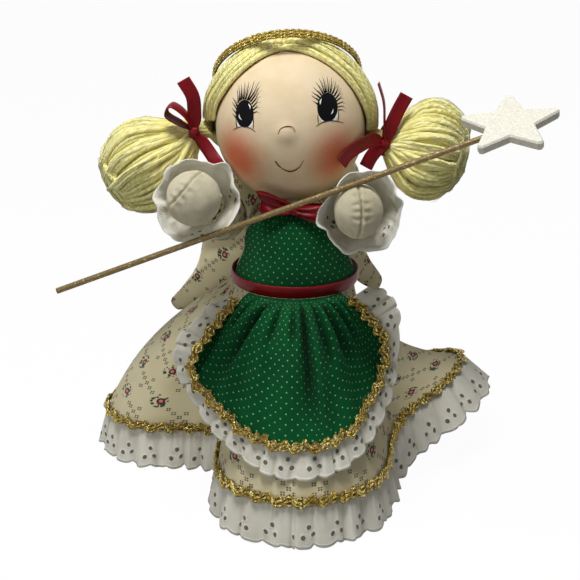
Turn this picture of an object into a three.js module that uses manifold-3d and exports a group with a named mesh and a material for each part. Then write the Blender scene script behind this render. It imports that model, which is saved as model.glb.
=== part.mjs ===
// Angel doll tree topper, in millimetres. +Z is up and the doll faces -Y.
// The origin is on the axis of the inner cone, in the plane of its base rim.
// A cardboard cone carries a stuffed torso. The dress, apron and ribbons are sewn round them.
// The head turns on a wooden neck dowel, and both arms swing on one wire through the shoulders.
import * as THREE from 'three';
import { mergeVertices } from 'three/addons/utils/BufferGeometryUtils.js';
import Module from 'manifold-3d';

const wasm = await Module();
wasm.setup();

// Clearances
const seatGap = 0.3;
const runningGap = 0.4;
const layerGap = 0.65;
const cutOverrun = 2;
const weldDistance = 0.0001;

// Cloth
const clothThickness = 1;
const skirtThickness = 1.2;
const frillThickness = 1;
const braidThickness = 1.4;
const ribbonThickness = 0.9;

// Tree cone
const coneBaseRadius = 45;
const coneTopRadius = 22;
const coneHeight = 123;
const coneWall = 1.6;

// Torso
const waistRadius = 32.5;
const chestRadius = 36;
const shoulderRadius = 33;
const neckRadius = 15;
const torsoHeight = 58;
const shoulderBelowTop = 18.3;
const plugDepth = 13;
const chestWidthShare = 0.76;

// Neck and head
const neckAboveShoulder = 14;
const headRadius = 43;
const headTiltDegrees = -3.9;
const headYawDegrees = -3;
const noseRadius = 6;
const noseStandOut = 3.2;
const noseLiftDegrees = 6;
const dowelRadius = 3.2;
const dowelLength = 44;
const dowelInTorso = 12;

// Hair
const wigThickness = 8.7;
const wigEdgeThickness = 5;
const tieReach = 50.5;
const tieDropDegreesLeft = -1.6;
const tieDropDegreesRight = 13;
const rootRadius = 6.6;
const bunchDepth = 23;
const bunchLengthLeft = 27;
const bunchWidthLeft = 26;
const bunchOffsetLeft = 38.5;
const bunchDroopDegreesLeft = 33;
const bunchLengthRight = 23;
const bunchWidthRight = 28;
const bunchOffsetRight = 30.5;
const bunchDroopDegreesRight = 12;

// Halo
const haloRadius = 43;
const haloWidth = 4.6;
const haloThickness = 1.3;
const haloCordRadius = 1.3;
const haloTiltDegrees = -41;

// Arms
const shoulderBack = 7;
const wireRadius = 1;
const sleeveRootRadius = 15;
const sleevePuffRadius = 15.4;
const sleeveLength = 72;
const armsLowerDegrees = 17;
const armRadius = 9;
const wristRadius = 8.4;
const handRadiusLeft = 14.2;
const handRadiusRight = 12.7;
const handReachLeft = 98.8;
const handReachRight = 96.9;
const handLiftDegreesLeft = 20.8;
const handLiftDegreesRight = 17;
const handSwayDegreesLeft = -5.3;
const handSwayDegreesRight = -7.2;
const cuffStart = 67;
const cuffLength = 21;
const cuffRimRadius = 21.5;
const cuffFrill = 1.4;

// Wand
const wandRadius = 1.59;
const wandLength = 240.5;
const wandLiftDegrees = 20.4;
const wandForward = 88;
const wandStartSide = 125.7;
const wandStartBelowShoulder = 14.4;
const wandInStar = 4;
const tackAlongLeft = 93.6;
const tackAlongRight = 155;
const tackWidth = 6;
const tackWall = 2;
const starRadius = 26;
const starWaistShare = 0.5;
const starThickness = 5;
const starTipRadius = 2.2;
const starTurnDegrees = [20.1, 9.1, 3.5];
const starOffsetShare = 0.096;

// Skirt, as seams that run round the waist and the hem
const skirtTop = 125.6;
const seamReach = 124;
const seamHeight = 25;
const seamLift = 37;
const seamSteps = 80;
const skirtRows = 5;
const braidWidth = 8.5;
const frillDepth = 25.5;
const pleatDepth = 2;
const frillPleats = 40;
const hemFlareDegrees = 13;
const liftedFlareDegrees = 34;
const floorGap = 0.6;

// Apron
const apronReach = 95;
const apronDrop = 86;
const apronSwellShare = 0.14;
const apronGather = 1.5;
const apronFolds = 9;
const apronEdgeWave = 1;
const apronBraidWidth = 6;
const apronPleatDepth = 1.4;

// Wings
const wingSpan = 82;
const wingHeight = 108;
const wingThickness = 5;
const wingLeanDegrees = 11;
const wingSweepDegreesLeft = 26;
const wingSweepDegreesRight = 50;
const wingSeamSide = 6;
const wingHingeBelowShoulder = 13;
const wingSeamRadius = 1.3;

// Neck bow and hair ribbons
const bowRibbonWidth = 10;
const bowLoopLength = 20;
const bowLoopDepth = 3;
const knotRadius = 4.5;
const hairRibbonWidth = 8;
const hairRibbonReach = 32;
const hairRingWidth = 4.6;

const radians = THREE.MathUtils.degToRad;
const fullTurn = Math.PI * 2;
const halfTurnDegrees = 180;

// Solids

function weld(geometry) {
  const bare = geometry.clone();
  bare.deleteAttribute('normal');
  bare.deleteAttribute('uv');
  const merged = mergeVertices(bare, weldDistance);
  const kept = [];
  const corners = merged.index.array;
  for (let at = 0; at < corners.length; at += 3) {
    const [a, b, c] = [corners[at], corners[at + 1], corners[at + 2]];
    if (a !== b && b !== c && c !== a) kept.push(a, b, c);
  }
  merged.setIndex(kept);
  return merged;
}

function toManifold(geometry) {
  const merged = weld(geometry);
  const mesh = new wasm.Mesh({
    numProp: 3,
    vertProperties: new Float32Array(merged.attributes.position.array),
    triVerts: new Uint32Array(merged.index.array),
  });
  return new wasm.Manifold(mesh);
}

function fromManifold(solid) {
  const mesh = solid.getMesh();
  const geometry = new THREE.BufferGeometry();
  geometry.setAttribute('position', new THREE.BufferAttribute(new Float32Array(mesh.vertProperties), 3));
  geometry.setIndex(new THREE.BufferAttribute(new Uint32Array(mesh.triVerts), 1));
  geometry.computeVertexNormals();
  return geometry;
}

function cut(body, ...tools) {
  let solid = toManifold(body);
  for (const tool of tools) solid = solid.subtract(toManifold(tool));
  return fromManifold(solid);
}

// The largest piece left of a body after a cut.
function trim(body, ...tools) {
  let solid = toManifold(body);
  for (const tool of tools) solid = solid.subtract(toManifold(tool));
  const pieces = solid.decompose();
  pieces.sort((first, second) => second.volume() - first.volume());
  return fromManifold(pieces[0]);
}

function join(body, ...others) {
  let solid = toManifold(body);
  for (const other of others) solid = solid.add(toManifold(other));
  return fromManifold(solid);
}

function upright(geometry) {
  return geometry.rotateX(Math.PI / 2);
}

function revolve(profile, segments) {
  const points = profile.map(([radius, height]) => new THREE.Vector2(radius, height));
  return upright(new THREE.LatheGeometry(points, segments));
}

function ball(radius, across, down) {
  return upright(new THREE.SphereGeometry(radius, across, down));
}

// A rod of the given radius from one point to another.
function rod(from, to, radius, segments) {
  const along = to.clone().sub(from);
  const geometry = upright(new THREE.CylinderGeometry(radius, radius, along.length(), segments));
  const way = along.clone().normalize();
  const turn = new THREE.Quaternion().setFromUnitVectors(new THREE.Vector3(0, 0, 1), way);
  geometry.applyQuaternion(turn);
  const middle = from.clone().lerp(to, 0.5);
  return geometry.translate(middle.x, middle.y, middle.z);
}

// A sheet of cloth: surface(u, v) is its outer face, with u counter-clockwise seen from above and
// v downwards. It is thickened inwards and closed along every rim.
function sheet(surface, { across, down, thickness, closed = false }) {
  const columns = closed ? across : across + 1;
  const rows = down + 1;
  const outer = [];
  for (let i = 0; i < columns; i += 1) {
    for (let j = 0; j < rows; j += 1) outer.push(surface(i / across, j / down));
  }
  const at = (i, j) => (closed ? (i + columns) % columns : i) * rows + j;
  const positions = [];
  const inner = [];
  for (let i = 0; i < columns; i += 1) {
    for (let j = 0; j < rows; j += 1) {
      const before = closed ? at(i - 1, j) : at(Math.max(i - 1, 0), j);
      const after = closed ? at(i + 1, j) : at(Math.min(i + 1, columns - 1), j);
      const over = outer[after].clone().sub(outer[before]);
      const under = outer[at(i, Math.min(j + 1, down))].clone().sub(outer[at(i, Math.max(j - 1, 0))]);
      const normal = under.cross(over).normalize();
      inner.push(outer[at(i, j)].clone().addScaledVector(normal, -thickness));
    }
  }
  for (const point of [...outer, ...inner]) positions.push(point.x, point.y, point.z);
  const faces = [];
  const shift = outer.length;
  const quad = (a, b, c, d) => faces.push(a, b, c, a, c, d);
  for (let i = 0; i < across; i += 1) {
    for (let j = 0; j < down; j += 1) {
      const [a, b, c, d] = [at(i, j), at(i, j + 1), at(i + 1, j), at(i + 1, j + 1)];
      quad(a, b, d, c);
      quad(a + shift, c + shift, d + shift, b + shift);
    }
    const [top, nextTop] = [at(i, 0), at(i + 1, 0)];
    quad(top, nextTop, nextTop + shift, top + shift);
    const [foot, nextFoot] = [at(i, down), at(i + 1, down)];
    quad(nextFoot, foot, foot + shift, nextFoot + shift);
  }
  if (!closed) {
    for (let j = 0; j < down; j += 1) {
      const [first, second] = [at(0, j), at(0, j + 1)];
      quad(second, first, first + shift, second + shift);
      const [last, lower] = [at(across, j), at(across, j + 1)];
      quad(last, lower, lower + shift, last + shift);
    }
  }
  const geometry = new THREE.BufferGeometry();
  geometry.setAttribute('position', new THREE.Float32BufferAttribute(positions, 3));
  geometry.setIndex(faces);
  geometry.computeVertexNormals();
  return geometry;
}

// A flat ribbon along a route, where across(u) is the vector from one edge to the other.
function ribbon(route, across, steps) {
  const curve = new THREE.CatmullRomCurve3(route);
  const surface = (u, v) => curve.getPoint(u).addScaledVector(across(u), v - 0.5);
  return sheet(surface, { across: steps, down: 1, thickness: ribbonThickness });
}

function round(degrees, reach, height) {
  const turn = radians(degrees);
  return new THREE.Vector3(reach * Math.sin(turn), -reach * Math.cos(turn), height);
}

function smooth(share) {
  const clamped = Math.min(Math.max(share, 0), 1);
  return clamped * clamped * (3 - 2 * clamped);
}

// Values between hand-chosen stations, on a smooth curve. A closed row runs round.
function between(stations, closed) {
  const curves = [];
  const width = stations[0].length;
  for (let column = 0; column < width; column += 3) {
    const points = stations.map((row) => new THREE.Vector3().fromArray(row, column));
    curves.push(new THREE.CatmullRomCurve3(points, closed, 'centripetal'));
  }
  return (share) => curves.flatMap((curve) => curve.getPoint(share).toArray());
}

const parts = {};
function piece(group, name, geometry, colour, roughness, metalness = 0) {
  const material = new THREE.MeshStandardMaterial({ color: colour, roughness, metalness });
  const mesh = new THREE.Mesh(geometry, material);
  mesh.name = name;
  group.add(mesh);
  parts[name] = mesh;
  return mesh;
}

const doll = new THREE.Group();

// Tree cone: a cardboard frustum, open at both ends for the tip of the tree.
function makeCone() {
  return revolve([
    [coneBaseRadius - coneWall, 0],
    [coneBaseRadius, 0],
    [coneTopRadius, coneHeight],
    [coneTopRadius - coneWall, coneHeight],
    [coneBaseRadius - coneWall, 0],
  ], 36);
}

// Torso: a stuffed bag, wider than deep at the waist and narrower at the shoulders. Its stations are
// shares of radius and of rise. The bodice, the bib and the waist ribbon follow the same stations.
const torsoBase = coneHeight + seatGap;
const torsoTop = torsoBase + torsoHeight;
const shoulderHeight = torsoTop - shoulderBelowTop;
const neckHeight = shoulderHeight + neckAboveShoulder;
const wandStartHeight = shoulderHeight - wandStartBelowShoulder;
const wingHingeHeight = shoulderHeight - wingHingeBelowShoulder;
const torsoStations = [
  [waistRadius, 0],
  [waistRadius, 0.055],
  [chestRadius * 0.96, 0.19],
  [chestRadius, 0.36],
  [chestRadius * 0.985, 0.56],
  [shoulderRadius, 0.72],
  [shoulderRadius * 0.86, 0.85],
  [shoulderRadius * 0.65, 0.93],
  [neckRadius, 0.97],
];
const torsoRows = torsoStations.length - 1;
const torsoTurns = 32;
const torsoCurve = new THREE.CatmullRomCurve3(
  torsoStations.map(([radius, rise]) => new THREE.Vector3(radius, torsoBase + rise * torsoHeight, 0)));

function widthShareAt(height) {
  const rise = (height - torsoBase) / torsoHeight;
  return 1 - (1 - chestWidthShare) * smooth((rise - 0.1) / 0.35);
}

// A point of the torso, moved out by an offset: turn in degrees from the front, and share 0 at the
// waist and 1 at the neck.
function torsoPoint(turnDegrees, share, offset) {
  const { x: radius, y: height } = torsoCurve.getPoint(share);
  const along = torsoCurve.getTangent(share);
  const width = widthShareAt(height);
  const turn = radians(turnDegrees);
  const point = new THREE.Vector3(radius * width * Math.sin(turn), -radius * Math.cos(turn), height);
  const normal = new THREE.Vector3(Math.sin(turn) / width, -Math.cos(turn), 0).normalize();
  normal.multiplyScalar(along.y);
  normal.z = -along.x;
  return point.addScaledVector(normal, offset);
}

// A sheet that follows the torso between two of its stations, over a range of turns.
function torsoSheet(topRow, footRow, offset, halfDegreesAt, { across, thickness, closed }) {
  const surface = (u, v) => torsoPoint(
    (u - 0.5) * 2 * halfDegreesAt(v), (topRow + (footRow - topRow) * v) / torsoRows, offset);
  return sheet(surface, { across, down: topRow - footRow, thickness, closed });
}

const plugRadius = coneTopRadius - coneWall - runningGap;
const headTilt = radians(headTiltDegrees);
const neckPoint = new THREE.Vector3(0, 0, neckHeight);
const headAxis = new THREE.Vector3(Math.sin(headTilt), 0, Math.cos(headTilt));
const headRise = headRadius - 1;
const headCentre = neckPoint.clone().addScaledVector(headAxis, headRise);
const shoulderSide = chestRadius * chestWidthShare + clothThickness + layerGap + sleeveRootRadius;
const wireBore = rod(
  new THREE.Vector3(-shoulderSide, shoulderBack, shoulderHeight),
  new THREE.Vector3(shoulderSide, shoulderBack, shoulderHeight),
  wireRadius + runningGap, 12);

function headSpace(gap) {
  return ball(headRadius + gap, 28, 16).rotateY(headTilt).translate(headCentre.x, headCentre.y, headCentre.z);
}

function dowelSpace(gap) {
  const from = neckPoint.clone().addScaledVector(headAxis, -dowelInTorso - gap);
  const to = neckPoint.clone().addScaledVector(headAxis, dowelLength - dowelInTorso + gap);
  return rod(from, to, dowelRadius + gap, 14);
}

function shoulderSpace(side, gap) {
  return ball(sleeveRootRadius + gap, 16, 10).translate(side * shoulderSide, shoulderBack, shoulderHeight);
}

// The space that the right sleeve takes when the arms are lowered.
function loweredSleeveSpace(gap) {
  const shoulder = new THREE.Vector3(shoulderSide, shoulderBack, shoulderHeight);
  const low = wayRight.clone().applyAxisAngle(new THREE.Vector3(1, 0, 0), radians(armsLowerDegrees));
  return rod(shoulder, shoulder.clone().addScaledVector(low, sleeveLength * 0.6), sleevePuffRadius + gap, 16);
}

function makeTorso() {
  const bag = revolve([
    [0, torsoBase - plugDepth],
    [plugRadius, torsoBase - plugDepth],
    [plugRadius, torsoBase],
    ...torsoStations.map(([radius, rise]) => [radius, torsoBase + rise * torsoHeight]),
    [0, torsoTop],
  ], torsoTurns);
  const place = bag.attributes.position;
  for (let at = 0; at < place.count; at += 1) place.setX(at, place.getX(at) * widthShareAt(place.getZ(at)));
  return cut(bag, headSpace(seatGap), dowelSpace(seatGap), wireBore);
}

// Dress bodice: printed cotton round the torso, up to the neck.
const bodiceTopRow = torsoRows - 1;
function makeBodice() {
  const shell = torsoSheet(bodiceTopRow, 0, layerGap + clothThickness, () => halfTurnDegrees, {
    across: torsoTurns, thickness: clothThickness, closed: true });
  return cut(
    shell, wireBore, headSpace(runningGap), shoulderSpace(-1, runningGap), shoulderSpace(1, runningGap));
}

// Apron bib: dark green cotton over the front of the bodice.
const bibOffset = layerGap + clothThickness + layerGap + clothThickness;
const bibFootRow = 1;
const bibTopRow = torsoRows - 2;
const bibTopHalfDegrees = 48;
const bibSpreadDegrees = 28;
function makeBib() {
  const halfDegreesAt = (v) => bibTopHalfDegrees + bibSpreadDegrees * smooth(v * 2.2);
  const panel = torsoSheet(bibTopRow, bibFootRow, bibOffset, halfDegreesAt, {
    across: 16, thickness: clothThickness });
  return cut(
    panel, headSpace(runningGap), shoulderSpace(-1, runningGap), shoulderSpace(1, runningGap),
    loweredSleeveSpace(runningGap));
}

// Waist ribbon: one band of satin round the waist, over the foot of the bib and the bodice.
function makeWaistRibbon() {
  return torsoSheet(bibFootRow + 1, bibFootRow, bibOffset + layerGap + ribbonThickness, () => halfTurnDegrees, {
    across: torsoTurns, thickness: ribbonThickness, closed: true });
}

// Skirt stations round the doll, as degrees at the waist, degrees at the hem seam, and shares of
// the seam's reach and of its lift over the front hem.
const seamStationShares = [
  [0, 0, 0.785, 0],
  [-18, -14, 0.745, 0],
  [-34, -26, 0.69, 0],
  [-50, -39, 0.575, 0],
  [-64, -55, 0.44, 0],
  [-77, -78, 0.385, 0],
  [-86, -87, 0.53, 0],
  [-94, -89, 0.75, 0],
  [-102, -95, 0.91, 0],
  [-112, -106, 1.03, 0],
  [-126, -122, 1, 0],
  [-144, -142, 0.83, 0],
  [-162, -162, 0.75, 0],
  [-180, -180, 0.82, 0],
  [-200, -200, 0.75, 0.08],
  [-218, -218, 0.82, 0.27],
  [-234, -234, 0.93, 0.62],
  [-247, -249, 0.96, 0.88],
  [-258, -257, 0.88, 0.84],
  [-267, -266, 0.75, 0.66],
  [-276, -276, 0.61, 0.46],
  [-288, -288, 0.54, 0.27],
  [-304, -302, 0.545, 0.12],
  [-317, -316, 0.625, 0.03],
  [-330, -331, 0.72, 0],
  [-346, -346, 0.765, 0],
];

// Seam points at even steps along the hem, counter-clockwise from the front.
function makeSeam() {
  const stations = seamStationShares.slice(1).reverse().map(([waist, hem, reach, lift]) => [
    waist + 360, hem + 360, reach, lift]);
  const rows = [seamStationShares[0], ...stations];
  const places = rows.map(
    ([, hem, reach, lift]) => round(hem, reach * seamReach, seamHeight + lift * seamLift));
  const curve = new THREE.CatmullRomCurve3(places, true, 'centripetal');
  curve.arcLengthDivisions = 720;
  const waistRow = rows.map(([waist]) => waist);
  waistRow.push(360);
  const seam = [];
  for (let step = 0; step < seamSteps; step += 1) {
    const share = curve.getUtoTmapping(step / seamSteps);
    const slot = share * rows.length;
    const index = Math.floor(slot);
    const waist = waistRow[index] + (waistRow[index + 1] - waistRow[index]) * (slot - index);
    seam.push({ waist, point: curve.getPoint(share) });
  }
  return seam;
}

const seam = makeSeam();
const skirtTopRadius = waistRadius + layerGap + clothThickness + seatGap + skirtThickness;

// One rib of the skirt from the waist to the hem seam. It swells where the hem stands low.
// Where the hem is lifted the cloth falls close to the body first and then flares.
const swellingRibShares = [0.1, 0.07, 0.74, 0.4];
const fallingRibShares = [0.03, 0.3, 0.28, 0.86];
function rib(waist, foot, topRadius, share) {
  const reach = Math.hypot(foot.x, foot.y);
  const drop = skirtTop - foot.z;
  const lifted = smooth((foot.z - seamHeight) / seamLift * 2.2);
  const [earlyOut, earlyDown, lateOut, lateDown] = swellingRibShares.map(
    (value, index) => value + (fallingRibShares[index] - value) * lifted);
  const outward = new THREE.Vector3(foot.x, foot.y, 0).normalize();
  const start = round(waist, topRadius, skirtTop);
  const early = round(waist, topRadius + (reach - topRadius) * earlyOut, skirtTop - drop * earlyDown);
  const late = outward.multiplyScalar(topRadius + (reach - topRadius) * lateOut);
  late.z = skirtTop - drop * lateDown;
  return new THREE.CubicBezierCurve3(start, early, late, foot).getPoint(share);
}

function skirtSurface(u, v) {
  const { waist, point } = seam[Math.round(u * seamSteps) % seamSteps];
  return rib(waist, point, skirtTopRadius, v);
}

function makeSkirt() {
  return sheet(skirtSurface, { across: seamSteps, down: skirtRows, thickness: skirtThickness, closed: true });
}

// Outward direction of the cloth at a seam step, in plan.
function seamOutward(step) {
  const before = seam[(step + seamSteps - 1) % seamSteps].point;
  const after = seam[(step + 1) % seamSteps].point;
  return new THREE.Vector3(after.y - before.y, before.x - after.x, 0).normalize();
}

// The way the cloth runs down at a seam step.
function seamDown(step) {
  const above = skirtSurface(step / seamSteps, 1 - 1 / skirtRows);
  return seam[step % seamSteps].point.clone().sub(above).normalize();
}

// Skirt braid: a band laid on the skirt just above the hem seam.
function makeSkirtBraid() {
  const surface = (u, v) => {
    const step = Math.round(u * seamSteps) % seamSteps;
    const down = seamDown(step);
    const outward = seamOutward(step);
    const lift = outward.clone().addScaledVector(down, -outward.dot(down)).normalize();
    const raised = layerGap * smooth((seam[step].point.z - seamHeight) / seamLift * 3);
    return seam[step].point.clone()
      .addScaledVector(down, -braidWidth * (1 - v))
      .addScaledVector(lift, braidThickness + seatGap + runningGap + raised);
  };
  return sheet(surface, { across: seamSteps, down: 1, thickness: braidThickness, closed: true });
}

// Skirt frill: white eyelet cotton, pleated, sewn below the seam. It hangs down to just over the floor.
const frillSteps = frillPleats * 4;
function frillFoot(step) {
  const index = Math.floor(step / 2);
  const place = (at) => seam[at % seamSteps].point;
  const even = step % 2 === 0;
  const top = even ? place(index).clone() : place(index).clone().lerp(place(index + 1), 0.5);
  const next = index + (even ? 0 : 1);
  const outward = seamOutward(index % seamSteps).add(seamOutward(next % seamSteps)).normalize();
  const lift = (top.z - seamHeight) / seamLift;
  const flare = radians(hemFlareDegrees + liftedFlareDegrees * smooth(lift));
  const depth = Math.min(frillDepth, (top.z - floorGap - runningGap) / Math.cos(flare));
  const down = outward.clone().multiplyScalar(Math.sin(flare));
  down.z = -Math.cos(flare);
  return { top, outward, down, depth };
}

function makeSkirtFrill() {
  const surface = (u, v) => {
    const step = Math.round(u * frillSteps) % frillSteps;
    const { top, outward, down, depth } = frillFoot(step);
    const wave = Math.sin((step + 0.5) * Math.PI / 2) * pleatDepth * Math.sqrt(v);
    const start = seatGap + runningGap;
    return top.clone()
      .addScaledVector(down, start + (depth - start) * v)
      .addScaledVector(outward, wave);
  };
  return sheet(surface, { across: frillSteps, down: 1, thickness: frillThickness, closed: true });
}

// Apron stations from its left corner at the waist, under the hem and up to its right corner: degrees
// where the fold is gathered at the waist, then degrees, share of reach and share of drop for the
// braid line, then the same for the outer edge of the frill.
const apronStationShares = [
  [-47, -46.4, 0.44, 0.01, -52, 0.515, 0],
  [-47, -45.8, 0.52, 0.055, -56.5, 0.62, 0.035],
  [-47, -45.2, 0.63, 0.145, -56, 0.73, 0.125],
  [-47, -45, 0.77, 0.255, -56, 0.865, 0.235],
  [-40, -46.5, 0.83, 0.395, -54.5, 0.9, 0.41],
  [-31, -40, 0.825, 0.52, -46, 0.88, 0.6],
  [-22, -30, 0.825, 0.63, -34, 0.9, 0.77],
  [-13, -18.5, 0.865, 0.72, -20, 0.935, 0.9],
  [-4, -5, 0.91, 0.765, -6, 0.995, 0.985],
  [5, 8.5, 0.915, 0.765, 9, 1, 0.98],
  [14, 19.5, 0.88, 0.715, 22, 0.965, 0.905],
  [23, 32.5, 0.8, 0.555, 36, 0.89, 0.71],
  [35, 42, 0.765, 0.385, 46, 0.85, 0.46],
  [46, 46.5, 0.715, 0.2, 53, 0.79, 0.08],
  [51, 50, 0.635, 0.11, 55.5, 0.74, 0],
  [53, 52, 0.55, 0.04, 57, 0.66, -0.06],
  [53, 52, 0.475, -0.01, 56, 0.53, -0.08],
];
const apronLast = apronStationShares.length - 1;
const apronCorner = 3 / apronLast;
const apronEdgeHeight = skirtTop - clothThickness;
const apronTopRadius = skirtTopRadius + layerGap + clothThickness;
function apronPlace(degrees, reachShare, dropShare) {
  return round(degrees, reachShare * apronReach, apronEdgeHeight - dropShare * apronDrop).toArray();
}

const apronCurve = between(apronStationShares.map((row) => [
  ...apronPlace(...row.slice(1, 4)), ...apronPlace(...row.slice(4))]), false);

// Fades to less at both side edges of the apron.
function sideFade(u) {
  return 0.25 + 0.75 * smooth(u * 3.5) * smooth((1 - u) * 3.5);
}

function apronStart(u) {
  const slot = (apronCorner + (1 - 2 * apronCorner) * u) * apronLast;
  const index = Math.min(Math.floor(slot), apronLast - 1);
  const [from, to] = [apronStationShares[index][0], apronStationShares[index + 1][0]];
  return round(from + (to - from) * (slot - index), apronTopRadius, skirtTop);
}

// Apron panel: gathered at the waist, with its folds running out to the curved edge. A fold runs from
// the waist at v 0 to the edge at v 1.
function apronSurface(u, v) {
  const [x, y, z] = apronCurve(apronCorner + (1 - 2 * apronCorner) * u);
  const start = apronStart(u);
  const edge = new THREE.Vector3(x, y, z);
  const along = edge.clone().sub(start);
  const outward = new THREE.Vector3(start.x + x, start.y + y, 0).normalize();
  const ripple = 1 - Math.cos(fullTurn * u * apronFolds);
  edge.addScaledVector(outward, apronEdgeWave * ripple * sideFade(u));
  const lift = outward.clone().multiplyScalar(-along.z);
  lift.z = Math.hypot(along.x, along.y);
  lift.normalize();
  const swell = sideFade(u) * along.length() * apronSwellShare * Math.sin(Math.PI * v ** 0.8) * (1 - v ** 3);
  const fold = ripple * sideFade(u) * apronGather * smooth(v * 5) * (1 - v * v);
  return start.lerp(edge, v).addScaledVector(lift, swell * smooth(v * 9) + fold);
}

const apronTurns = apronFolds * 5;
const apronRows = 5;

// A place on the straight facets that follow a run of points.
function onChord(run, steps, share) {
  const slot = share * steps;
  const index = Math.min(Math.floor(slot), steps - 1);
  return run(index / steps).lerp(run((index + 1) / steps), slot - index);
}

// Directions along the apron's edge: outward in the cloth, and off the cloth towards the front. The
// share runs up both side edges too.
function apronEdgePoint(share) {
  const climb = (part) => 0.15 + 0.85 * part / apronCorner;
  if (share < apronCorner) return onChord((v) => apronSurface(0, v), apronRows, climb(share));
  if (share > 1 - apronCorner) return onChord((v) => apronSurface(1, v), apronRows, climb(1 - share));
  return onChord((u) => apronSurface(u, 1), apronTurns, (share - apronCorner) / (1 - 2 * apronCorner));
}

function apronEdge(share) {
  const edge = apronEdgePoint(share);
  const [, , , x, y, z] = apronCurve(share);
  const span = 0.012;
  const ahead = apronEdgePoint(Math.min(share + span, 1)).sub(apronEdgePoint(Math.max(share - span, 0)));
  const spread = new THREE.Vector3(x, y, z).sub(edge);
  const off = spread.clone().cross(ahead).normalize();
  return { edge, spread, off };
}

function makeApron() {
  return sheet(apronSurface, { across: apronTurns, down: apronRows, thickness: clothThickness });
}

// The apron panel with clearance on both faces.
function apronSpace() {
  const surface = (u, v) => {
    const span = 0.01;
    const over = apronSurface(Math.min(u + span, 1), v).sub(apronSurface(Math.max(u - span, 0), v));
    const under = apronSurface(u, Math.min(v + span, 1)).sub(apronSurface(u, Math.max(v - span, 0)));
    return apronSurface(u, v).addScaledVector(under.cross(over).normalize(), seatGap);
  };
  return sheet(surface, { across: apronTurns, down: apronRows, thickness: clothThickness + 2 * seatGap });
}

function makeApronBraid() {
  const surface = (u, v) => {
    const share = 0.01 + 0.98 * u;
    const { edge, spread, off } = apronEdge(share);
    const across = spread.clone().normalize();
    return edge.clone()
      .addScaledVector(across, apronBraidWidth * (v - 0.15))
      .addScaledVector(off, braidThickness + apronPleatDepth + seatGap + runningGap);
  };
  return trim(sheet(surface, { across: 54, down: 1, thickness: braidThickness }), apronSpace());
}

function makeApronFrill() {
  const pleats = 22;
  const steps = pleats * 4;
  const surface = (u, v) => {
    const share = 0.005 + 0.99 * u;
    const { edge, spread, off } = apronEdge(share);
    const start = (layerGap + clothThickness) / spread.length();
    const wave = Math.sin((u * steps + 0.5) * Math.PI / 2) * apronPleatDepth * Math.sqrt(v);
    return edge.clone().addScaledVector(spread, start + (1 - start) * v).addScaledVector(off, wave);
  };
  return trim(sheet(surface, { across: steps, down: 1, thickness: frillThickness }), apronSpace());
}

// Neck bow: satin, sewn on the bib under the chin. The centre lies on the shoulder slope of the bib.
const bowSeatShare = 0.75;
const bowLoopShares = [
  [0.02, 0.3], [0.35, 0.85], [0.8, 1], [1.02, 0.1], [0.8, -0.75], [0.35, -0.6], [0.02, -0.3],
];
function makeNeckBow() {
  const seat = torsoPoint(0, bowSeatShare, bibOffset + seatGap + knotRadius * 0.8);
  const knot = ball(knotRadius, 12, 8).scale(1, 0.8, 0.8).translate(seat.x, seat.y, seat.z);
  const loop = (side, droopDegrees, lengthShare) => {
    const droop = radians(droopDegrees);
    const length = bowLoopLength * lengthShare;
    const out = (reach, depth) => new THREE.Vector3(
      side * length * reach * Math.cos(droop),
      seat.y - bowLoopDepth * depth,
      seat.z + length * reach * Math.sin(droop));
    const route = bowLoopShares.map(([reach, depth]) => out(reach, depth));
    const across = (u) => {
      const size = bowRibbonWidth * (0.45 + 0.55 * Math.sin(Math.PI * u));
      return new THREE.Vector3(-side * Math.sin(droop) * size, 0, -Math.cos(droop) * size);
    };
    return ribbon(route, across, 10);
  };
  return join(knot, loop(-1, 14, 1.05), loop(1, -8, 0.86));
}

// Head group: upright about the neck, then tilted and turned.
const head = new THREE.Group();
head.position.copy(neckPoint);
head.rotation.set(0, headTilt, 0);
doll.add(head);

function makeHead() {
  const skull = ball(headRadius, 28, 16).translate(0, 0, headRise);
  const lift = radians(noseLiftDegrees);
  const yaw = radians(headYawDegrees);
  const out = headRadius + noseStandOut - noseRadius;
  const level = out * Math.cos(lift);
  const nose = ball(noseRadius, 12, 8).translate(
    level * Math.sin(yaw), -level * Math.cos(yaw), headRise + out * Math.sin(lift));
  const bore = rod(
    new THREE.Vector3(0, 0, -cutOverrun),
    new THREE.Vector3(0, 0, dowelLength - dowelInTorso + seatGap),
    dowelRadius + seatGap, 14);
  return cut(join(skull, nose), bore);
}

// Direction from the head's centre, with strand 0 at the left tie and 1 at the right one, and turn in
// degrees from the front over the top to the nape.
const strandSpread = 81;
function strandDirection(strand, turnDegrees) {
  const side = (strand * 2 - 1) * strandSpread;
  const tilt = radians(side);
  const turn = radians(turnDegrees);
  const way = new THREE.Vector3(
    Math.sin(tilt), -Math.cos(tilt) * Math.cos(turn), Math.cos(tilt) * Math.sin(turn));
  const drop = side < 0 ? -tieDropDegreesLeft : tieDropDegreesRight;
  const bend = radians(drop * smooth(Math.abs(side) / strandSpread));
  return way.applyAxisAngle(new THREE.Vector3(0, 1, 0), bend);
}

const hairlineTop = 84;
const hairlineSide = 47;
const napeMiddle = 232;
const napeSide = 224;

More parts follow.
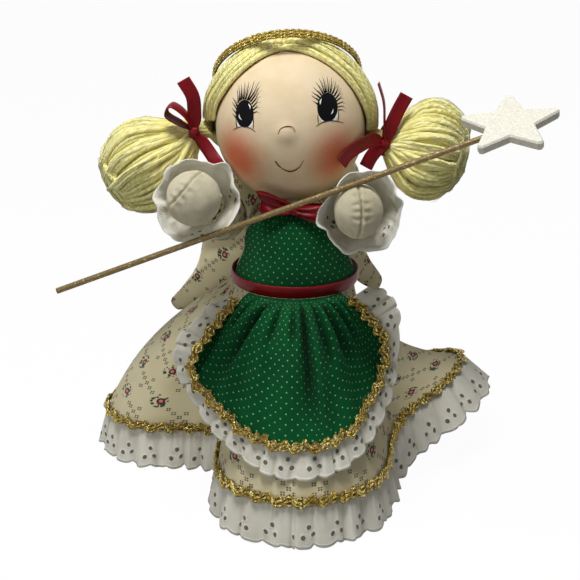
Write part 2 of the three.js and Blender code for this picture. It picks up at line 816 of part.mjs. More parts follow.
// Yarn wig: strands from the centre parting round to the ties, over the crown and the back of the head.
function makeWig() {
  const surface = (u, v) => {
    const share = Math.abs(u * 2 - 1);
    const front = hairlineTop + (hairlineSide - hairlineTop) * share;
    const nape = napeMiddle + (napeSide - napeMiddle) * share;
    const way = strandDirection(1 - u, front + (nape - front) * v);
    const thickness = wigEdgeThickness + (wigThickness - wigEdgeThickness) * smooth(v * 7);
    return way.multiplyScalar(headRadius + seatGap + thickness).add(new THREE.Vector3(0, 0, headRise));
  };
  const cap = sheet(surface, { across: 18, down: 9, thickness: wigThickness * 1.5 });
  return cut(cap, ball(headRadius + seatGap, 28, 16).translate(0, 0, headRise));
}

// Halo: a flat gold braid on edge, bent into a ring, with a cord along its upper edge.
const haloInside = haloRadius - haloThickness * 0.5;
const haloSeat = Math.sqrt((headRadius + wigThickness + 3 * seatGap) ** 2 - haloInside ** 2);
function makeHalo() {
  const [inside, outside] = [haloRadius - haloThickness * 0.5, haloRadius + haloThickness * 0.5];
  const profile = [[outside, haloSeat], [outside, haloSeat + haloWidth - haloCordRadius]];
  for (let step = 1; step < 6; step += 1) {
    const turn = -Math.PI / 3 + (Math.PI * 5 / 3) * (step / 6);
    profile.push([
      haloRadius + haloCordRadius * Math.cos(turn), haloSeat + haloWidth + haloCordRadius * Math.sin(turn)]);
  }
  profile.push([inside, haloSeat + haloWidth - haloCordRadius], [inside, haloSeat], [outside, haloSeat]);
  return revolve(profile, 32).rotateX(radians(haloTiltDegrees)).translate(0, 0, headRise);
}

// Places of the two ties on the head.
function tiePlace(strand) {
  const way = strandDirection(strand, 90);
  const side = strand < 0.5 ? -1 : 1;
  const drop = radians(side < 0 ? tieDropDegreesLeft : tieDropDegreesRight);
  way.set(side * Math.cos(drop), 0, -Math.sin(drop));
  return way.multiplyScalar(tieReach).add(new THREE.Vector3(0, 0, headRise));
}

function tieGroup(strand) {
  const group = new THREE.Group();
  group.position.copy(tiePlace(strand));
  group.rotation.set(0, -headTilt, 0);
  head.add(group);
  return group;
}

const tieLeft = tieGroup(0);
const tieRight = tieGroup(1);

// Pigtail: a bunch of yarn loops whose bound root turns in the ribbon ring at the tie.
const ringInside = rootRadius + runningGap;
function makePigtail(side, length, width, offset, droopDegrees, dropDegrees) {
  const droop = radians(droopDegrees);
  const way = new THREE.Vector3(side * Math.cos(droop), 0, -Math.sin(droop));
  const bunch = ball(1, 16, 10).scale(length, bunchDepth, width).rotateY(side * droop);
  bunch.translate(way.x * offset, 0, way.z * offset);
  const drop = radians(dropDegrees);
  const out = new THREE.Vector3(side * Math.cos(drop), 0, -Math.sin(drop));
  const neckEnd = out.clone().multiplyScalar(hairRingWidth + rootRadius);
  const neck = rod(new THREE.Vector3(), neckEnd, rootRadius * 0.9, 12);
  const stalk = rod(
    neckEnd.clone().multiplyScalar(0.85), way.clone().multiplyScalar(offset), rootRadius * 0.9, 12);
  return join(ball(rootRadius, 12, 8), neck, stalk, bunch);
}

// Hair ribbon: a ring round the pigtail's root, with a knot, a loop and tails in front of it.
function makeHairRibbon(side, dropDegrees, strips) {
  const drop = radians(dropDegrees);
  const out = new THREE.Vector3(side * Math.cos(drop), 0, -Math.sin(drop));
  const start = rootRadius * 0.33;
  const ring = revolve([
    [ringInside, start],
    [ringInside + ribbonThickness * 1.6, start],
    [ringInside + ribbonThickness * 1.6, start + hairRingWidth],
    [ringInside, start + hairRingWidth],
    [ringInside, start],
  ], 18);
  const turn = new THREE.Quaternion().setFromUnitVectors(new THREE.Vector3(0, 0, 1), out);
  ring.applyQuaternion(turn);
  const middle = out.clone().multiplyScalar(start + hairRingWidth * 0.5);
  const front = middle.clone().add(new THREE.Vector3(0, -ringInside - knotRadius * 0.45, 0));
  const knot = ball(knotRadius * 0.75, 10, 6).scale(1, 0.8, 1).translate(front.x, front.y, front.z);
  const pieces = strips.map(({ shares, flat }) => {
    const route = [[0, 0, 0], ...shares].map(([x, y, z]) => new THREE.Vector3(
      front.x + x * hairRibbonReach, front.y + y * hairRibbonReach, front.z + z * hairRibbonReach));
    const across = (u) => {
      const size = hairRibbonWidth * (0.5 + 0.5 * smooth(u * 4) * (flat.loop ? smooth((1 - u) * 4) : 1));
      return new THREE.Vector3(...flat.way).normalize().multiplyScalar(size);
    };
    return ribbon(route, across, 6);
  });
  return join(ring, knot, ...pieces);
}

const ribbonStripSharesLeft = [
  { shares: [[0.02, -0.06, 0.35], [0, -0.1, 0.65], [-0.16, -0.08, 0.94]], flat: { way: [-1, 0, -0.2] } },
  {
    shares: [
      [-0.14, -0.08, 0.34], [-0.38, -0.12, 0.51], [-0.48, -0.06, 0.34], [-0.24, -0.02, 0.16], [0, 0.02, 0.02],
    ],
    flat: { way: [0.2, 1, 0.25], loop: true },
  },
  {
    shares: [[0.17, 0, -0.22], [0.36, -0.13, -0.47], [0.54, -0.33, -0.65], [0.68, -0.42, -0.76]],
    flat: { way: [-0.75, 0.2, -0.6] },
  },
];
const ribbonStripSharesRight = [
  { shares: [[0.1, -0.05, 0.34], [0.22, -0.04, 0.62], [0.36, -0.02, 0.88]], flat: { way: [-0.8, 0, 0.5] } },
  { shares: [[-0.02, -0.04, 0.4], [-0.04, -0.02, 0.76], [-0.14, 0, 1.1]], flat: { way: [0.15, 1, 0] } },
  {
    shares: [[-0.2, -0.12, 0.1], [-0.44, -0.36, 0.06], [-0.7, -0.64, -0.06], [-0.8, -0.74, -0.18]],
    flat: { way: [0.1, 0, -1] },
  },
  {
    shares: [[-0.12, -0.02, -0.08], [-0.24, -0.04, -0.22], [-0.34, -0.06, -0.41]],
    flat: { way: [-1, 0.3, 0.3] },
  },
];

// Wand frame: along the wand from its plain end, across its face, and square to both.
const wandLift = radians(wandLiftDegrees);
const wandStart = new THREE.Vector3(-wandStartSide, -wandForward, wandStartHeight);
const wandWay = new THREE.Vector3(Math.cos(wandLift), 0, Math.sin(wandLift));

function wandSpace(gap, from = 0, to = wandLength) {
  return rod(
    wandStart.clone().addScaledVector(wandWay, from), wandStart.clone().addScaledVector(wandWay, to),
    wandRadius + gap, 16);
}

function makeWandDowel() {
  return wandSpace(0);
}

// Star: cut from board with softened points, bored at one notch for the dowel.
function makeStar() {
  const shape = new THREE.Shape();
  const tipHalf = radians(7);
  const points = [];
  for (let corner = 0; corner < 5; corner += 1) {
    const tip = fullTurn * corner / 5;
    const inner = tip + Math.PI / 5;
    const tipReach = starRadius - starTipRadius * 0.5;
    points.push([tipReach * Math.cos(tip - tipHalf * 0.6), tipReach * Math.sin(tip - tipHalf * 0.6)]);
    points.push([starRadius * Math.cos(tip), starRadius * Math.sin(tip)]);
    points.push([tipReach * Math.cos(tip + tipHalf * 0.6), tipReach * Math.sin(tip + tipHalf * 0.6)]);
    const notchReach = starRadius * starWaistShare;
    points.push([notchReach * Math.cos(inner), notchReach * Math.sin(inner)]);
  }
  shape.setFromPoints(points.map(([x, y]) => new THREE.Vector2(x, y)));
  const star = new THREE.ExtrudeGeometry(shape, {
    depth: starThickness * 0.6,
    bevelThickness: starThickness * 0.2,
    bevelSize: starThickness * 0.14,
    bevelOffset: -starThickness * 0.14,
    bevelSegments: 1,
  });
  star.translate(0, starRadius * starOffsetShare, -starThickness * 0.3);
  const [roll, pitch, spin] = starTurnDegrees.map(radians);
  star.applyMatrix4(new THREE.Matrix4().makeRotationFromEuler(new THREE.Euler(roll, pitch, spin, 'XYZ')));
  const reach = wandLength + starRadius * starWaistShare - wandInStar;
  star.rotateY(-wandLift);
  const middle = wandStart.clone().addScaledVector(wandWay, reach);
  star.translate(middle.x, middle.y, middle.z);
  return cut(star, wandSpace(seatGap, 0, wandLength + seatGap));
}

// Arms: each is a stuffed muslin arm and mitten in a printed sleeve with an eyelet cuff.
function armWay(side, liftDegrees, swayDegrees) {
  const lift = radians(liftDegrees);
  const sway = radians(swayDegrees);
  return new THREE.Vector3(Math.sin(sway) * Math.cos(lift), -Math.cos(sway) * Math.cos(lift), Math.sin(lift));
}

function aim(geometry, side, way) {
  const turn = new THREE.Quaternion().setFromUnitVectors(new THREE.Vector3(0, 0, 1), way);
  geometry.applyQuaternion(turn);
  return geometry.translate(side * shoulderSide, shoulderBack, shoulderHeight);
}

function arc(radius, centre, fromDegrees, toDegrees, steps) {
  const points = [];
  for (let step = 0; step <= steps; step += 1) {
    const turn = radians(fromDegrees + (toDegrees - fromDegrees) * (step / steps));
    points.push([radius * Math.cos(turn), centre + radius * Math.sin(turn)]);
  }
  return points;
}

const armInset = sleeveRootRadius * 0.8;
function makeArm(side, way, reach, handRadius) {
  const wristAt = reach - handRadius * 1.15;
  const wristTurn = -Math.acos(Math.min(wristRadius / handRadius, 1)) * 180 / Math.PI;
  const profile = [
    [0, -armInset],
    ...arc(armInset, 0, -72, 20, 4),
    [armRadius, sleeveLength * 0.35],
    [wristRadius, sleeveLength * 0.8],
    [wristRadius, Math.max(wristAt, sleeveLength)],
    ...arc(handRadius, reach, wristTurn * 0.95, 72, 6),
    [0, reach + handRadius],
  ];
  const limb = aim(revolve(profile, 16), side, way);
  return cut(limb, wireBore);
}

function makeSleeve(side, way) {
  const outerFace = [
    ...arc(sleeveRootRadius, 0, -65, 0, 4),
    [sleevePuffRadius, sleeveLength * 0.42],
    [sleevePuffRadius * 0.93, sleeveLength * 0.7],
    [wristRadius + runningGap + clothThickness, sleeveLength * 0.92],
  ];
  const innerFace = [
    [wristRadius + runningGap, sleeveLength * 0.92],
    [sleevePuffRadius * 0.93 - clothThickness, sleeveLength * 0.68],
    [sleevePuffRadius - clothThickness, sleeveLength * 0.42],
    ...arc(sleeveRootRadius - clothThickness, 0, 0, -65, 4),
  ];
  const tube = aim(revolve([...outerFace, ...innerFace, outerFace[0]], 16), side, way);
  return cut(tube, wireBore);
}

// Cuff: a bell of eyelet lace. Its rim is drawn forward to a tack that holds the wand.
function makeCuff(side, way, tackAlong, handReach, handRadius) {
  const frills = 7;
  const steps = 28;
  const back = new THREE.Quaternion().setFromUnitVectors(new THREE.Vector3(0, 0, 1), way).invert();
  const tackPlace = wandStart.clone().addScaledVector(wandWay, tackAlong);
  tackPlace.sub(new THREE.Vector3(side * shoulderSide, shoulderBack, shoulderHeight)).applyQuaternion(back);
  const tackTurn = Math.atan2(tackPlace.y, tackPlace.x);
  const tackRadius = Math.hypot(tackPlace.x, tackPlace.y);
  const start = wristRadius + 2 * runningGap + 2 * clothThickness;
  const surface = (u, v) => {
    const turn = tackTurn - fullTurn * u;
    const pull = Math.max(0, Math.cos(fullTurn * u)) ** 5;
    const wave = Math.sin(fullTurn * u * frills) * cuffFrill * v * (1 - pull);
    const open = start + (cuffRimRadius - start) * v ** 0.75 + wave;
    const radius = open + (tackRadius - cuffRimRadius) * pull * v ** 1.5;
    const along = cuffStart + cuffLength * v + (tackPlace.z - cuffStart - cuffLength) * pull * v;
    return new THREE.Vector3(radius * Math.cos(turn), radius * Math.sin(turn), along);
  };
  const bell = aim(
    sheet(surface, { across: steps, down: 2, thickness: frillThickness, closed: true }), side, way);
  const tack = wandSpace(seatGap + tackWall, tackAlong - tackWidth * 0.5, tackAlong + tackWidth * 0.5);
  const hand = aim(ball(handRadius + runningGap, 16, 10).translate(0, 0, handReach), side, way);
  return cut(join(bell, tack), wandSpace(seatGap), hand);
}

// Wings: two padded lobes, each sewn to the back of the bodice along its inner edge.
const wingOutlineShares = [
  [0, 0.2], [0.12, 0.245], [0.3, 0.3], [0.5, 0.29], [0.66, 0.18], [0.72, 0.02], [0.73, -0.18],
  [0.8, -0.43], [0.98, -0.65], [1.08, -0.76], [1.02, -0.81], [0.82, -0.71], [0.54, -0.52],
  [0.26, -0.36], [0, -0.3],
];

function makeWing(side) {
  const outlinePoints = wingOutlineShares.map(([x, y]) => new THREE.Vector3(x * wingSpan, y * wingHeight, 0));
  const curve = new THREE.CatmullRomCurve3(outlinePoints, false, 'centripetal');
  const shape = new THREE.Shape(curve.getPoints(28).map((point) => new THREE.Vector2(point.x, point.y)));
  const pad = new THREE.ExtrudeGeometry(shape, {
    depth: wingThickness * 0.3,
    bevelThickness: wingThickness * 0.35,
    bevelSize: wingThickness * 0.5,
    bevelOffset: -wingThickness * 0.5,
    bevelSegments: 2,
  });
  pad.translate(0, 0, -wingThickness * 0.15);
  pad.rotateX(Math.PI / 2);
  const top = new THREE.Vector3(0, 0, wingHeight * 0.2);
  const foot = new THREE.Vector3(0, 0, -wingHeight * 0.3);
  const seam = rod(top, foot, wingSeamRadius, 10);
  const solid = join(pad, seam);
  return side > 0 ? solid : mirrored(solid);
}

function mirrored(geometry) {
  const copy = geometry.clone().scale(-1, 1, 1);
  const corners = copy.index.array;
  for (let at = 0; at < corners.length; at += 3) {
    [corners[at], corners[at + 1]] = [corners[at + 1], corners[at]];
  }
  return copy;
}

const wingSeat = chestRadius + layerGap + clothThickness + runningGap + wingSeamRadius;
function wingGroup(side, sweepDegrees) {
  const lean = new THREE.Group();
  lean.position.set(side * wingSeamSide, wingSeat, wingHingeHeight);
  lean.rotation.set(radians(wingLeanDegrees), 0, 0);
  doll.add(lean);
  const sweep = new THREE.Group();
  sweep.rotation.set(0, 0, side * radians(sweepDegrees));
  lean.add(sweep);
  return sweep;
}

// Assembly
const wayLeft = armWay(-1, handLiftDegreesLeft, handSwayDegreesLeft);
const wayRight = armWay(1, handLiftDegreesRight, handSwayDegreesRight);

piece(doll, 'tree_cone', makeCone(), 0xb8a88c, 0.9);
piece(doll, 'torso', makeTorso(), 0xe8dcc4, 0.95);
piece(doll, 'neck_dowel', dowelSpace(0), 0xc8a878, 0.8);
piece(doll, 'dress_bodice', makeBodice(), 0xe9dfc2, 0.9);
piece(doll, 'apron_bib', makeBib(), 0x0d6b3c, 0.9);
piece(doll, 'waist_ribbon', makeWaistRibbon(), 0xb01020, 0.45);
piece(doll, 'dress_skirt', makeSkirt(), 0xe9dfc2, 0.9);
piece(doll, 'skirt_braid', makeSkirtBraid(), 0xc8a24a, 0.4, 0.8);
piece(doll, 'skirt_ruffle', makeSkirtFrill(), 0xf4f4f0, 0.9);
piece(doll, 'apron_panel', makeApron(), 0x0d6b3c, 0.9);
piece(doll, 'apron_braid', makeApronBraid(), 0xc8a24a, 0.4, 0.8);
piece(doll, 'apron_ruffle', makeApronFrill(), 0xf4f4f0, 0.9);
piece(doll, 'neck_bow', makeNeckBow(), 0xb01020, 0.45);

piece(head, 'head_ball', makeHead(), 0xe6c9a6, 0.85);
piece(head, 'yarn_wig', makeWig(), 0xf2ec9c, 0.95);
piece(head, 'halo_band', makeHalo(), 0xc9a227, 0.35, 0.9);
piece(tieLeft, 'hair_ribbon_left', makeHairRibbon(
  -1, tieDropDegreesLeft, ribbonStripSharesLeft), 0xb01020, 0.45);
piece(tieRight, 'hair_ribbon_right', makeHairRibbon(
  1, tieDropDegreesRight, ribbonStripSharesRight), 0xb01020, 0.45);
piece(tieLeft, 'pigtail_left', makePigtail(
  -1, bunchLengthLeft, bunchWidthLeft, bunchOffsetLeft, bunchDroopDegreesLeft, tieDropDegreesLeft,
), 0xf2ec9c, 0.95);
piece(tieRight, 'pigtail_right', makePigtail(
  1, bunchLengthRight, bunchWidthRight, bunchOffsetRight, bunchDroopDegreesRight, tieDropDegreesRight,
), 0xf2ec9c, 0.95);

piece(doll, 'arm_wire', rod(
  new THREE.Vector3(-shoulderSide + seatGap, shoulderBack, shoulderHeight),
  new THREE.Vector3(shoulderSide - seatGap, shoulderBack, shoulderHeight),
  wireRadius, 12), 0x9a9a9a, 0.4, 0.9);
piece(doll, 'arm_left', makeArm(-1, wayLeft, handReachLeft, handRadiusLeft), 0xe6dcc6, 0.9);
piece(doll, 'arm_right', makeArm(1, wayRight, handReachRight, handRadiusRight), 0xe6dcc6, 0.9);
piece(doll, 'sleeve_left', makeSleeve(-1, wayLeft), 0xe9dfc2, 0.9);
piece(doll, 'sleeve_right', makeSleeve(1, wayRight), 0xe9dfc2, 0.9);
piece(doll, 'cuff_left', makeCuff(
  -1, wayLeft, tackAlongLeft, handReachLeft, handRadiusLeft), 0xf2f0ea, 0.9);
piece(doll, 'cuff_right', makeCuff(
  1, wayRight, tackAlongRight, handReachRight, handRadiusRight), 0xf2f0ea, 0.9);
piece(doll, 'wand_dowel', makeWandDowel(), 0x8a6a3a, 0.4, 0.7);
piece(doll, 'wand_star', makeStar(), 0xf0eeea, 0.6);

piece(wingGroup(-1, wingSweepDegreesLeft), 'wing_left', makeWing(-1), 0xe9dfc2, 0.9);
piece(wingGroup(1, wingSweepDegreesRight), 'wing_right', makeWing(1), 0xe9dfc2, 0.9);

export default doll;
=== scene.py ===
"""Angel doll tree topper, dressed for the picture. The doll faces -Y, and +Z is up.

Shapes are worked out in millimetres, and a mesh is put in metres when it is made.
"""
import math
import random

import bmesh
import bpy
from mathutils import Matrix, Vector, noise


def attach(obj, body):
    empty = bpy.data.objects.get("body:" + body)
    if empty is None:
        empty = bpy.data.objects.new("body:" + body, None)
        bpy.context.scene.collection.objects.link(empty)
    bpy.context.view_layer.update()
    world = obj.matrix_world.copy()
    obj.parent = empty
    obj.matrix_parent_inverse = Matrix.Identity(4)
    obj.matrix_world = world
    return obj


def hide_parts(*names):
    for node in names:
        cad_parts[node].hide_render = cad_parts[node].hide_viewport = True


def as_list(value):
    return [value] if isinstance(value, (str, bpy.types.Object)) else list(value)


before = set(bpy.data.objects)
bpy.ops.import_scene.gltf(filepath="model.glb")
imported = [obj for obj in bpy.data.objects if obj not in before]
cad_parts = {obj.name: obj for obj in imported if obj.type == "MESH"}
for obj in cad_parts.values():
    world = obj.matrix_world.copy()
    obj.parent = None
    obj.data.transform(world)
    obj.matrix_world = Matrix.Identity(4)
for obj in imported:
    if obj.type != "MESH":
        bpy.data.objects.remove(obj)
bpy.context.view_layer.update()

MM = 0.001
random.seed(7)

# Camera

VIEW_POINT = Vector((-3.0, -663.62, 353.0))
VIEW_DOWN = math.radians(19.5)
VIEW_SCALE = 1160.0
VIEW_MIDDLE = 290.0


def make_camera():
    data = bpy.data.cameras.new("photo_camera")
    data.sensor_width = 36
    data.lens = 72
    data.clip_start = 0.05
    camera = bpy.data.objects.new("photo_camera", data)
    camera.location = VIEW_POINT * MM
    camera.rotation_euler = (math.pi / 2 - VIEW_DOWN, 0, 0)
    bpy.context.scene.collection.objects.link(camera)
    bpy.context.scene.camera = camera


make_camera()


def sight(across, down):
    """The direction in which the camera sees a point of its picture."""
    forward = Vector((0, math.cos(VIEW_DOWN), -math.sin(VIEW_DOWN)))
    upward = Vector((0, math.sin(VIEW_DOWN), math.cos(VIEW_DOWN)))
    way = forward + Vector(((across - VIEW_MIDDLE) / VIEW_SCALE, 0, 0))
    return (way - upward * ((down - VIEW_MIDDLE) / VIEW_SCALE)).normalized()


# Sizes shared with the CAD model, in millimetres

TORSO_BASE = 123.3
TORSO_HEIGHT = 58
WAIST, CHEST, SHOULDER, NECK = 32.5, 36, 33, 15
CHEST_SHARE = 0.76
NECK_HEIGHT = 177
HEAD_RADIUS = 43
HEAD_TILT = math.radians(-3.9)
HEAD_RISE = 42
SHOULDER_SIDE, SHOULDER_BACK, SHOULDER_HEIGHT = 44.01, 7, 163
SKIRT_TOP = 125.6
SKIRT_TOP_RADIUS = 35.65
SEAM_REACH, SEAM_HEIGHT, SEAM_LIFT = 124, 25, 37
FRILL_DEPTH = 25.5
APRON_REACH, APRON_DROP = 95, 86
WAND_LIFT = math.radians(20.4)
WAND_START = Vector((-125.7, -88, 148.6))
WAND_WAY = Vector((math.cos(WAND_LIFT), 0, math.sin(WAND_LIFT)))

# Forms


def smooth(share):
    share = min(max(share, 0.0), 1.0)
    return share * share * (3 - 2 * share)


def mix(a, b, share):
    return a + (b - a) * share


def around(degrees, reach, height):
    turn = math.radians(degrees)
    return Vector((reach * math.sin(turn), -reach * math.cos(turn), height))


def waver(*place):
    """Smooth noise between -1 and 1."""
    return noise.noise(Vector((*place, 0, 0)[:3]))


class Spline:
    """A centripetal Catmull-Rom curve through points."""

    def __init__(self, points, closed=False):
        self.points = [Vector(p) for p in points]
        self.closed = closed

    def __call__(self, share):
        points, count = self.points, len(self.points)
        slot = share * (count if self.closed else count - 1)
        index = math.floor(slot)
        if not self.closed:
            index = min(max(index, 0), count - 2)
        part = slot - index
        if self.closed:
            near = [points[(index + step) % count] for step in (-1, 0, 1, 2)]
        else:
            first = points[index - 1] if index > 0 else points[0] * 2 - points[1]
            last = points[index + 2] if index + 2 < count else points[-1] * 2 - points[-2]
            near = [first, points[index], points[index + 1], last]
        gaps = [max((near[i + 1] - near[i]).length, 1e-6) ** 0.5 for i in range(3)]
        before, here, after = gaps
        start = (near[1] - near[0]) / before - (near[2] - near[0]) / (before + here)
        start = (start + (near[2] - near[1]) / here) * here
        end = (near[2] - near[1]) / here - (near[3] - near[1]) / (here + after)
        end = (end + (near[3] - near[2]) / after) * here
        bend = (near[2] - near[1]) * 3 - start * 2 - end
        rise = (near[1] - near[2]) * 2 + start + end
        return near[1] + start * part + bend * part ** 2 + rise * part ** 3


def finish_mesh(name, bm, body, materials, thick=0.0, levels=0):
    """Turns a bmesh in millimetres into an object at the origin that rides on a body."""
    bmesh.ops.scale(bm, vec=(MM, MM, MM), verts=bm.verts)
    bmesh.ops.remove_doubles(bm, verts=bm.verts, dist=2e-6)
    mesh = bpy.data.meshes.new(name)
    bm.to_mesh(mesh)
    bm.free()
    mesh.shade_smooth()
    made = bpy.data.objects.new(name, mesh)
    bpy.context.scene.collection.objects.link(made)
    for material in materials:
        mesh.materials.append(material)
    if thick:
        solid = made.modifiers.new("thickness", "SOLIDIFY")
        solid.thickness = thick * MM
        solid.offset = -1
    if levels:
        soften = made.modifiers.new("soft", "SUBSURF")
        soften.levels = soften.render_levels = levels
    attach(made, body)
    return made


def new_mesh():
    bm = bmesh.new()
    bm.loops.layers.uv.new("cloth")
    # fold holds how deep in a fold each place is, for the painted shade that a material lays there
    bm.verts.layers.float.new("fold")
    return bm


def add_grid(bm, place, across, down, size=(1.0, 1.0), scales=None, slot=0, fold=None):
    """Adds a grid moved on to place(u, v). u runs counter-clockwise seen from above, and v down.
    The texture map runs over size, or over the lengths in scales. fold(u, v) is 1 deep in a fold, and sets
    how much painted shade the place gets."""
    made = bmesh.ops.create_grid(bm, x_segments=across, y_segments=down, size=1)["verts"]
    layer = bm.loops.layers.uv.active
    spots = {vert: ((vert.co.x + 1) / 2, (1 - vert.co.y) / 2) for vert in made}
    for vert, (u, v) in spots.items():
        vert.co = place(u, v)
        if fold:
            vert[bm.verts.layers.float["fold"]] = fold(u, v)
    faces = {face for vert in made for face in vert.link_faces}
    for face in faces:
        face.material_index = slot
        for loop in face.loops:
            u, v = spots[loop.vert]
            if scales:
                u, v = scales[0][round(u * across)], scales[1][round(v * down)]
                loop[layer].uv = (u * MM, v * MM)
            else:
                loop[layer].uv = (u * size[0] * MM, v * size[1] * MM)
    return made


def lengths(place, steps):
    """Running length along place(share), at even shares."""
    total, kept, last = 0.0, [0.0], place(0.0)
    for step in range(1, steps + 1):
        here = place(step / steps)
        total += (here - last).length
        kept.append(total)
        last = here
    return kept


def cloth(name, place, across, down, body, material, row=0.8, column=0.5, thick=0.7, fold=None,
          slot=None, **words):
    """A sheet of cloth whose texture map is in metres of cloth, measured along one row and column.
    It hides the CAD nodes that it stands for, and its slot, named as its material is unless given, is not
    used."""
    bm = new_mesh()
    wide = lengths(lambda u: place(u, row), across)
    long = lengths(lambda v: place(column, v), down)
    add_grid(bm, place, across, down, scales=(wide, long), fold=fold)
    area = surface_area(bm)
    flat = (wide[-1], max(long[-1], area / wide[-1]))
    made = finish_mesh(name, bm, body, [material], thick)
    declare(made, flat, area, slot or material.name.partition(".")[0], **words)


LEAST_SIDE, LEAST_AREA_SHARE = 10.2, 0.301


def declare(made, flat, area, slot, held="gathered", rests_on=(), stands_for=()):
    """Works out a sheet's flat size and area but keeps neither, and hides the CAD nodes that it stands for.
    """
    flat = [max(side, LEAST_SIDE) for side in flat]
    whole = flat[0] * flat[1]
    min(max(area, whole * LEAST_AREA_SHARE), whole) * MM * MM
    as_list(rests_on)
    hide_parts(*stands_for)


def stand_in(made, node=None):
    """Hides the CAD node that a piece stands for, where one is given."""
    if node:
        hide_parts(node)


def even_shares(place, steps, finer=4):
    """Shares of place that are evenly spaced in length, and its whole length."""
    divisions = steps * finer
    run = lengths(place, divisions)
    shares, index = [], 0
    for step in range(steps + 1):
        target = run[-1] * step / steps
        while index < divisions - 1 and run[index + 1] < target:
            index += 1
        part = (target - run[index]) / max(run[index + 1] - run[index], 1e-9)
        shares.append((index + part) / divisions)
    return shares, run[-1]


def tapered(share, rate):
    """1 along a strand, and almost 0 at both of its ends."""
    return min(1, share * rate + 0.02, (1 - share) * rate + 0.02)


def map_flat(bm, faces, matrix=None):
    """A texture map that looks along y, in the frame of matrix."""
    layer = bm.loops.layers.uv.active
    for face in faces:
        for loop in face.loops:
            spot = matrix @ loop.vert.co if matrix else loop.vert.co
            loop[layer].uv = (spot.x * MM, spot.z * MM)


def add_ball(bm, across, down):
    return bmesh.ops.create_uvsphere(bm, u_segments=across, v_segments=down, radius=1)["verts"]


def surface_area(bm):
    return sum(face.calc_area() for face in bm.faces)


def steady_frames(path):
    """Directions square to a path, which turn as little as they can along it."""
    frames, last = [], None
    count = len(path)
    for index in range(count):
        along = (path[min(index + 1, count - 1)] - path[max(index - 1, 0)]).normalized()
        if last is None:
            last = along.orthogonal().normalized()
        last = (last - along * along.dot(last)).normalized()
        frames.append((last.copy(), along.cross(last)))
    return frames


CORD_RADIUS = 1.2


def add_tube(bm, path, radius, sides=6, frames=None):
    """Adds a tube along a path. radius(share, turn) may vary, and gives one number or two."""
    count = len(path) - 1
    frames = frames or steady_frames(path)
    if not callable(radius):
        fixed = radius
        radius = lambda share, turn: fixed * min(1.0, share * 40, (1 - share) * 40)
    long = lengths(lambda share: path[round(share * count)], count)[-1]

    def place(u, v):
        index = round(v * count)
        turn = u * math.tau
        side, lift = frames[index % len(frames)]
        size = radius(v, turn)
        wide, high = size if isinstance(size, tuple) else (size, size)
        return path[index] + side * (wide * math.cos(turn)) + lift * (high * math.sin(turn))

    return add_grid(bm, place, sides, count, size=(math.tau * CORD_RADIUS, long))


# Materials


def tone(red, green, blue):
    """A colour of the picture, from 0 to 255, as the renderer's colour."""
    out = []
    for value in (red, green, blue):
        share = value / 255
        out.append(share / 12.92 if share <= 0.04045 else ((share + 0.055) / 1.055) ** 2.4)
    return (*out, 1.0)


class Field:
    """A number that varies over a surface, worked out by nodes."""

    def __init__(self, tree, source):
        self.tree, self.source = tree, source

    def math(self, operation, *others):
        made = self.tree.nodes.new("ShaderNodeMath")
        made.operation = operation
        for slot, value in enumerate((self, *others)):
            if isinstance(value, Field):
                self.tree.links.new(value.source, made.inputs[slot])
            else:
                made.inputs[slot].default_value = value
        return Field(self.tree, made.outputs[0])

    def apart(self, other):
        """Distance in a plane whose second coordinate is other."""
        return (self * self + other * other).math("SQRT")

    def between(self, low, high):
        """0 at low and 1 at high, with soft ends."""
        made = self.tree.nodes.new("ShaderNodeMapRange")
        made.interpolation_type = "SMOOTHSTEP"
        self.tree.links.new(self.source, made.inputs["Value"])
        made.inputs["From Min"].default_value = min(low, high)
        made.inputs["From Max"].default_value = max(low, high)
        made.inputs["To Min"].default_value = 0.0 if low < high else 1.0
        made.inputs["To Max"].default_value = 1.0 if low < high else 0.0
        return Field(self.tree, made.outputs["Result"])


def add_node(tree, kind, inputs=None, **settings):
    """Adds a shader node. Its inputs are given by name or number, as values, sockets or fields."""
    made = tree.nodes.new("ShaderNode" + kind)
    for key, value in settings.items():
        setattr(made, key, value)
    for key, value in (inputs or {}).items():
        if isinstance(value, Field):
            value = value.source
        if isinstance(value, bpy.types.NodeSocket):
            tree.links.new(value, made.inputs[key])
        else:
            made.inputs[key].default_value = value
    return made


def field_method(operation):
    return lambda field, *others: field.math(operation, *others)


for method, operation in (
    ("__add__", "ADD"), ("__sub__", "SUBTRACT"), ("__mul__", "MULTIPLY"), ("__truediv__", "DIVIDE"),
    ("abs", "ABSOLUTE"), ("fract", "FRACT"), ("floor", "FLOOR"), ("sin", "SINE"), ("most", "MAXIMUM"),
):
    setattr(Field, method, field_method(operation))


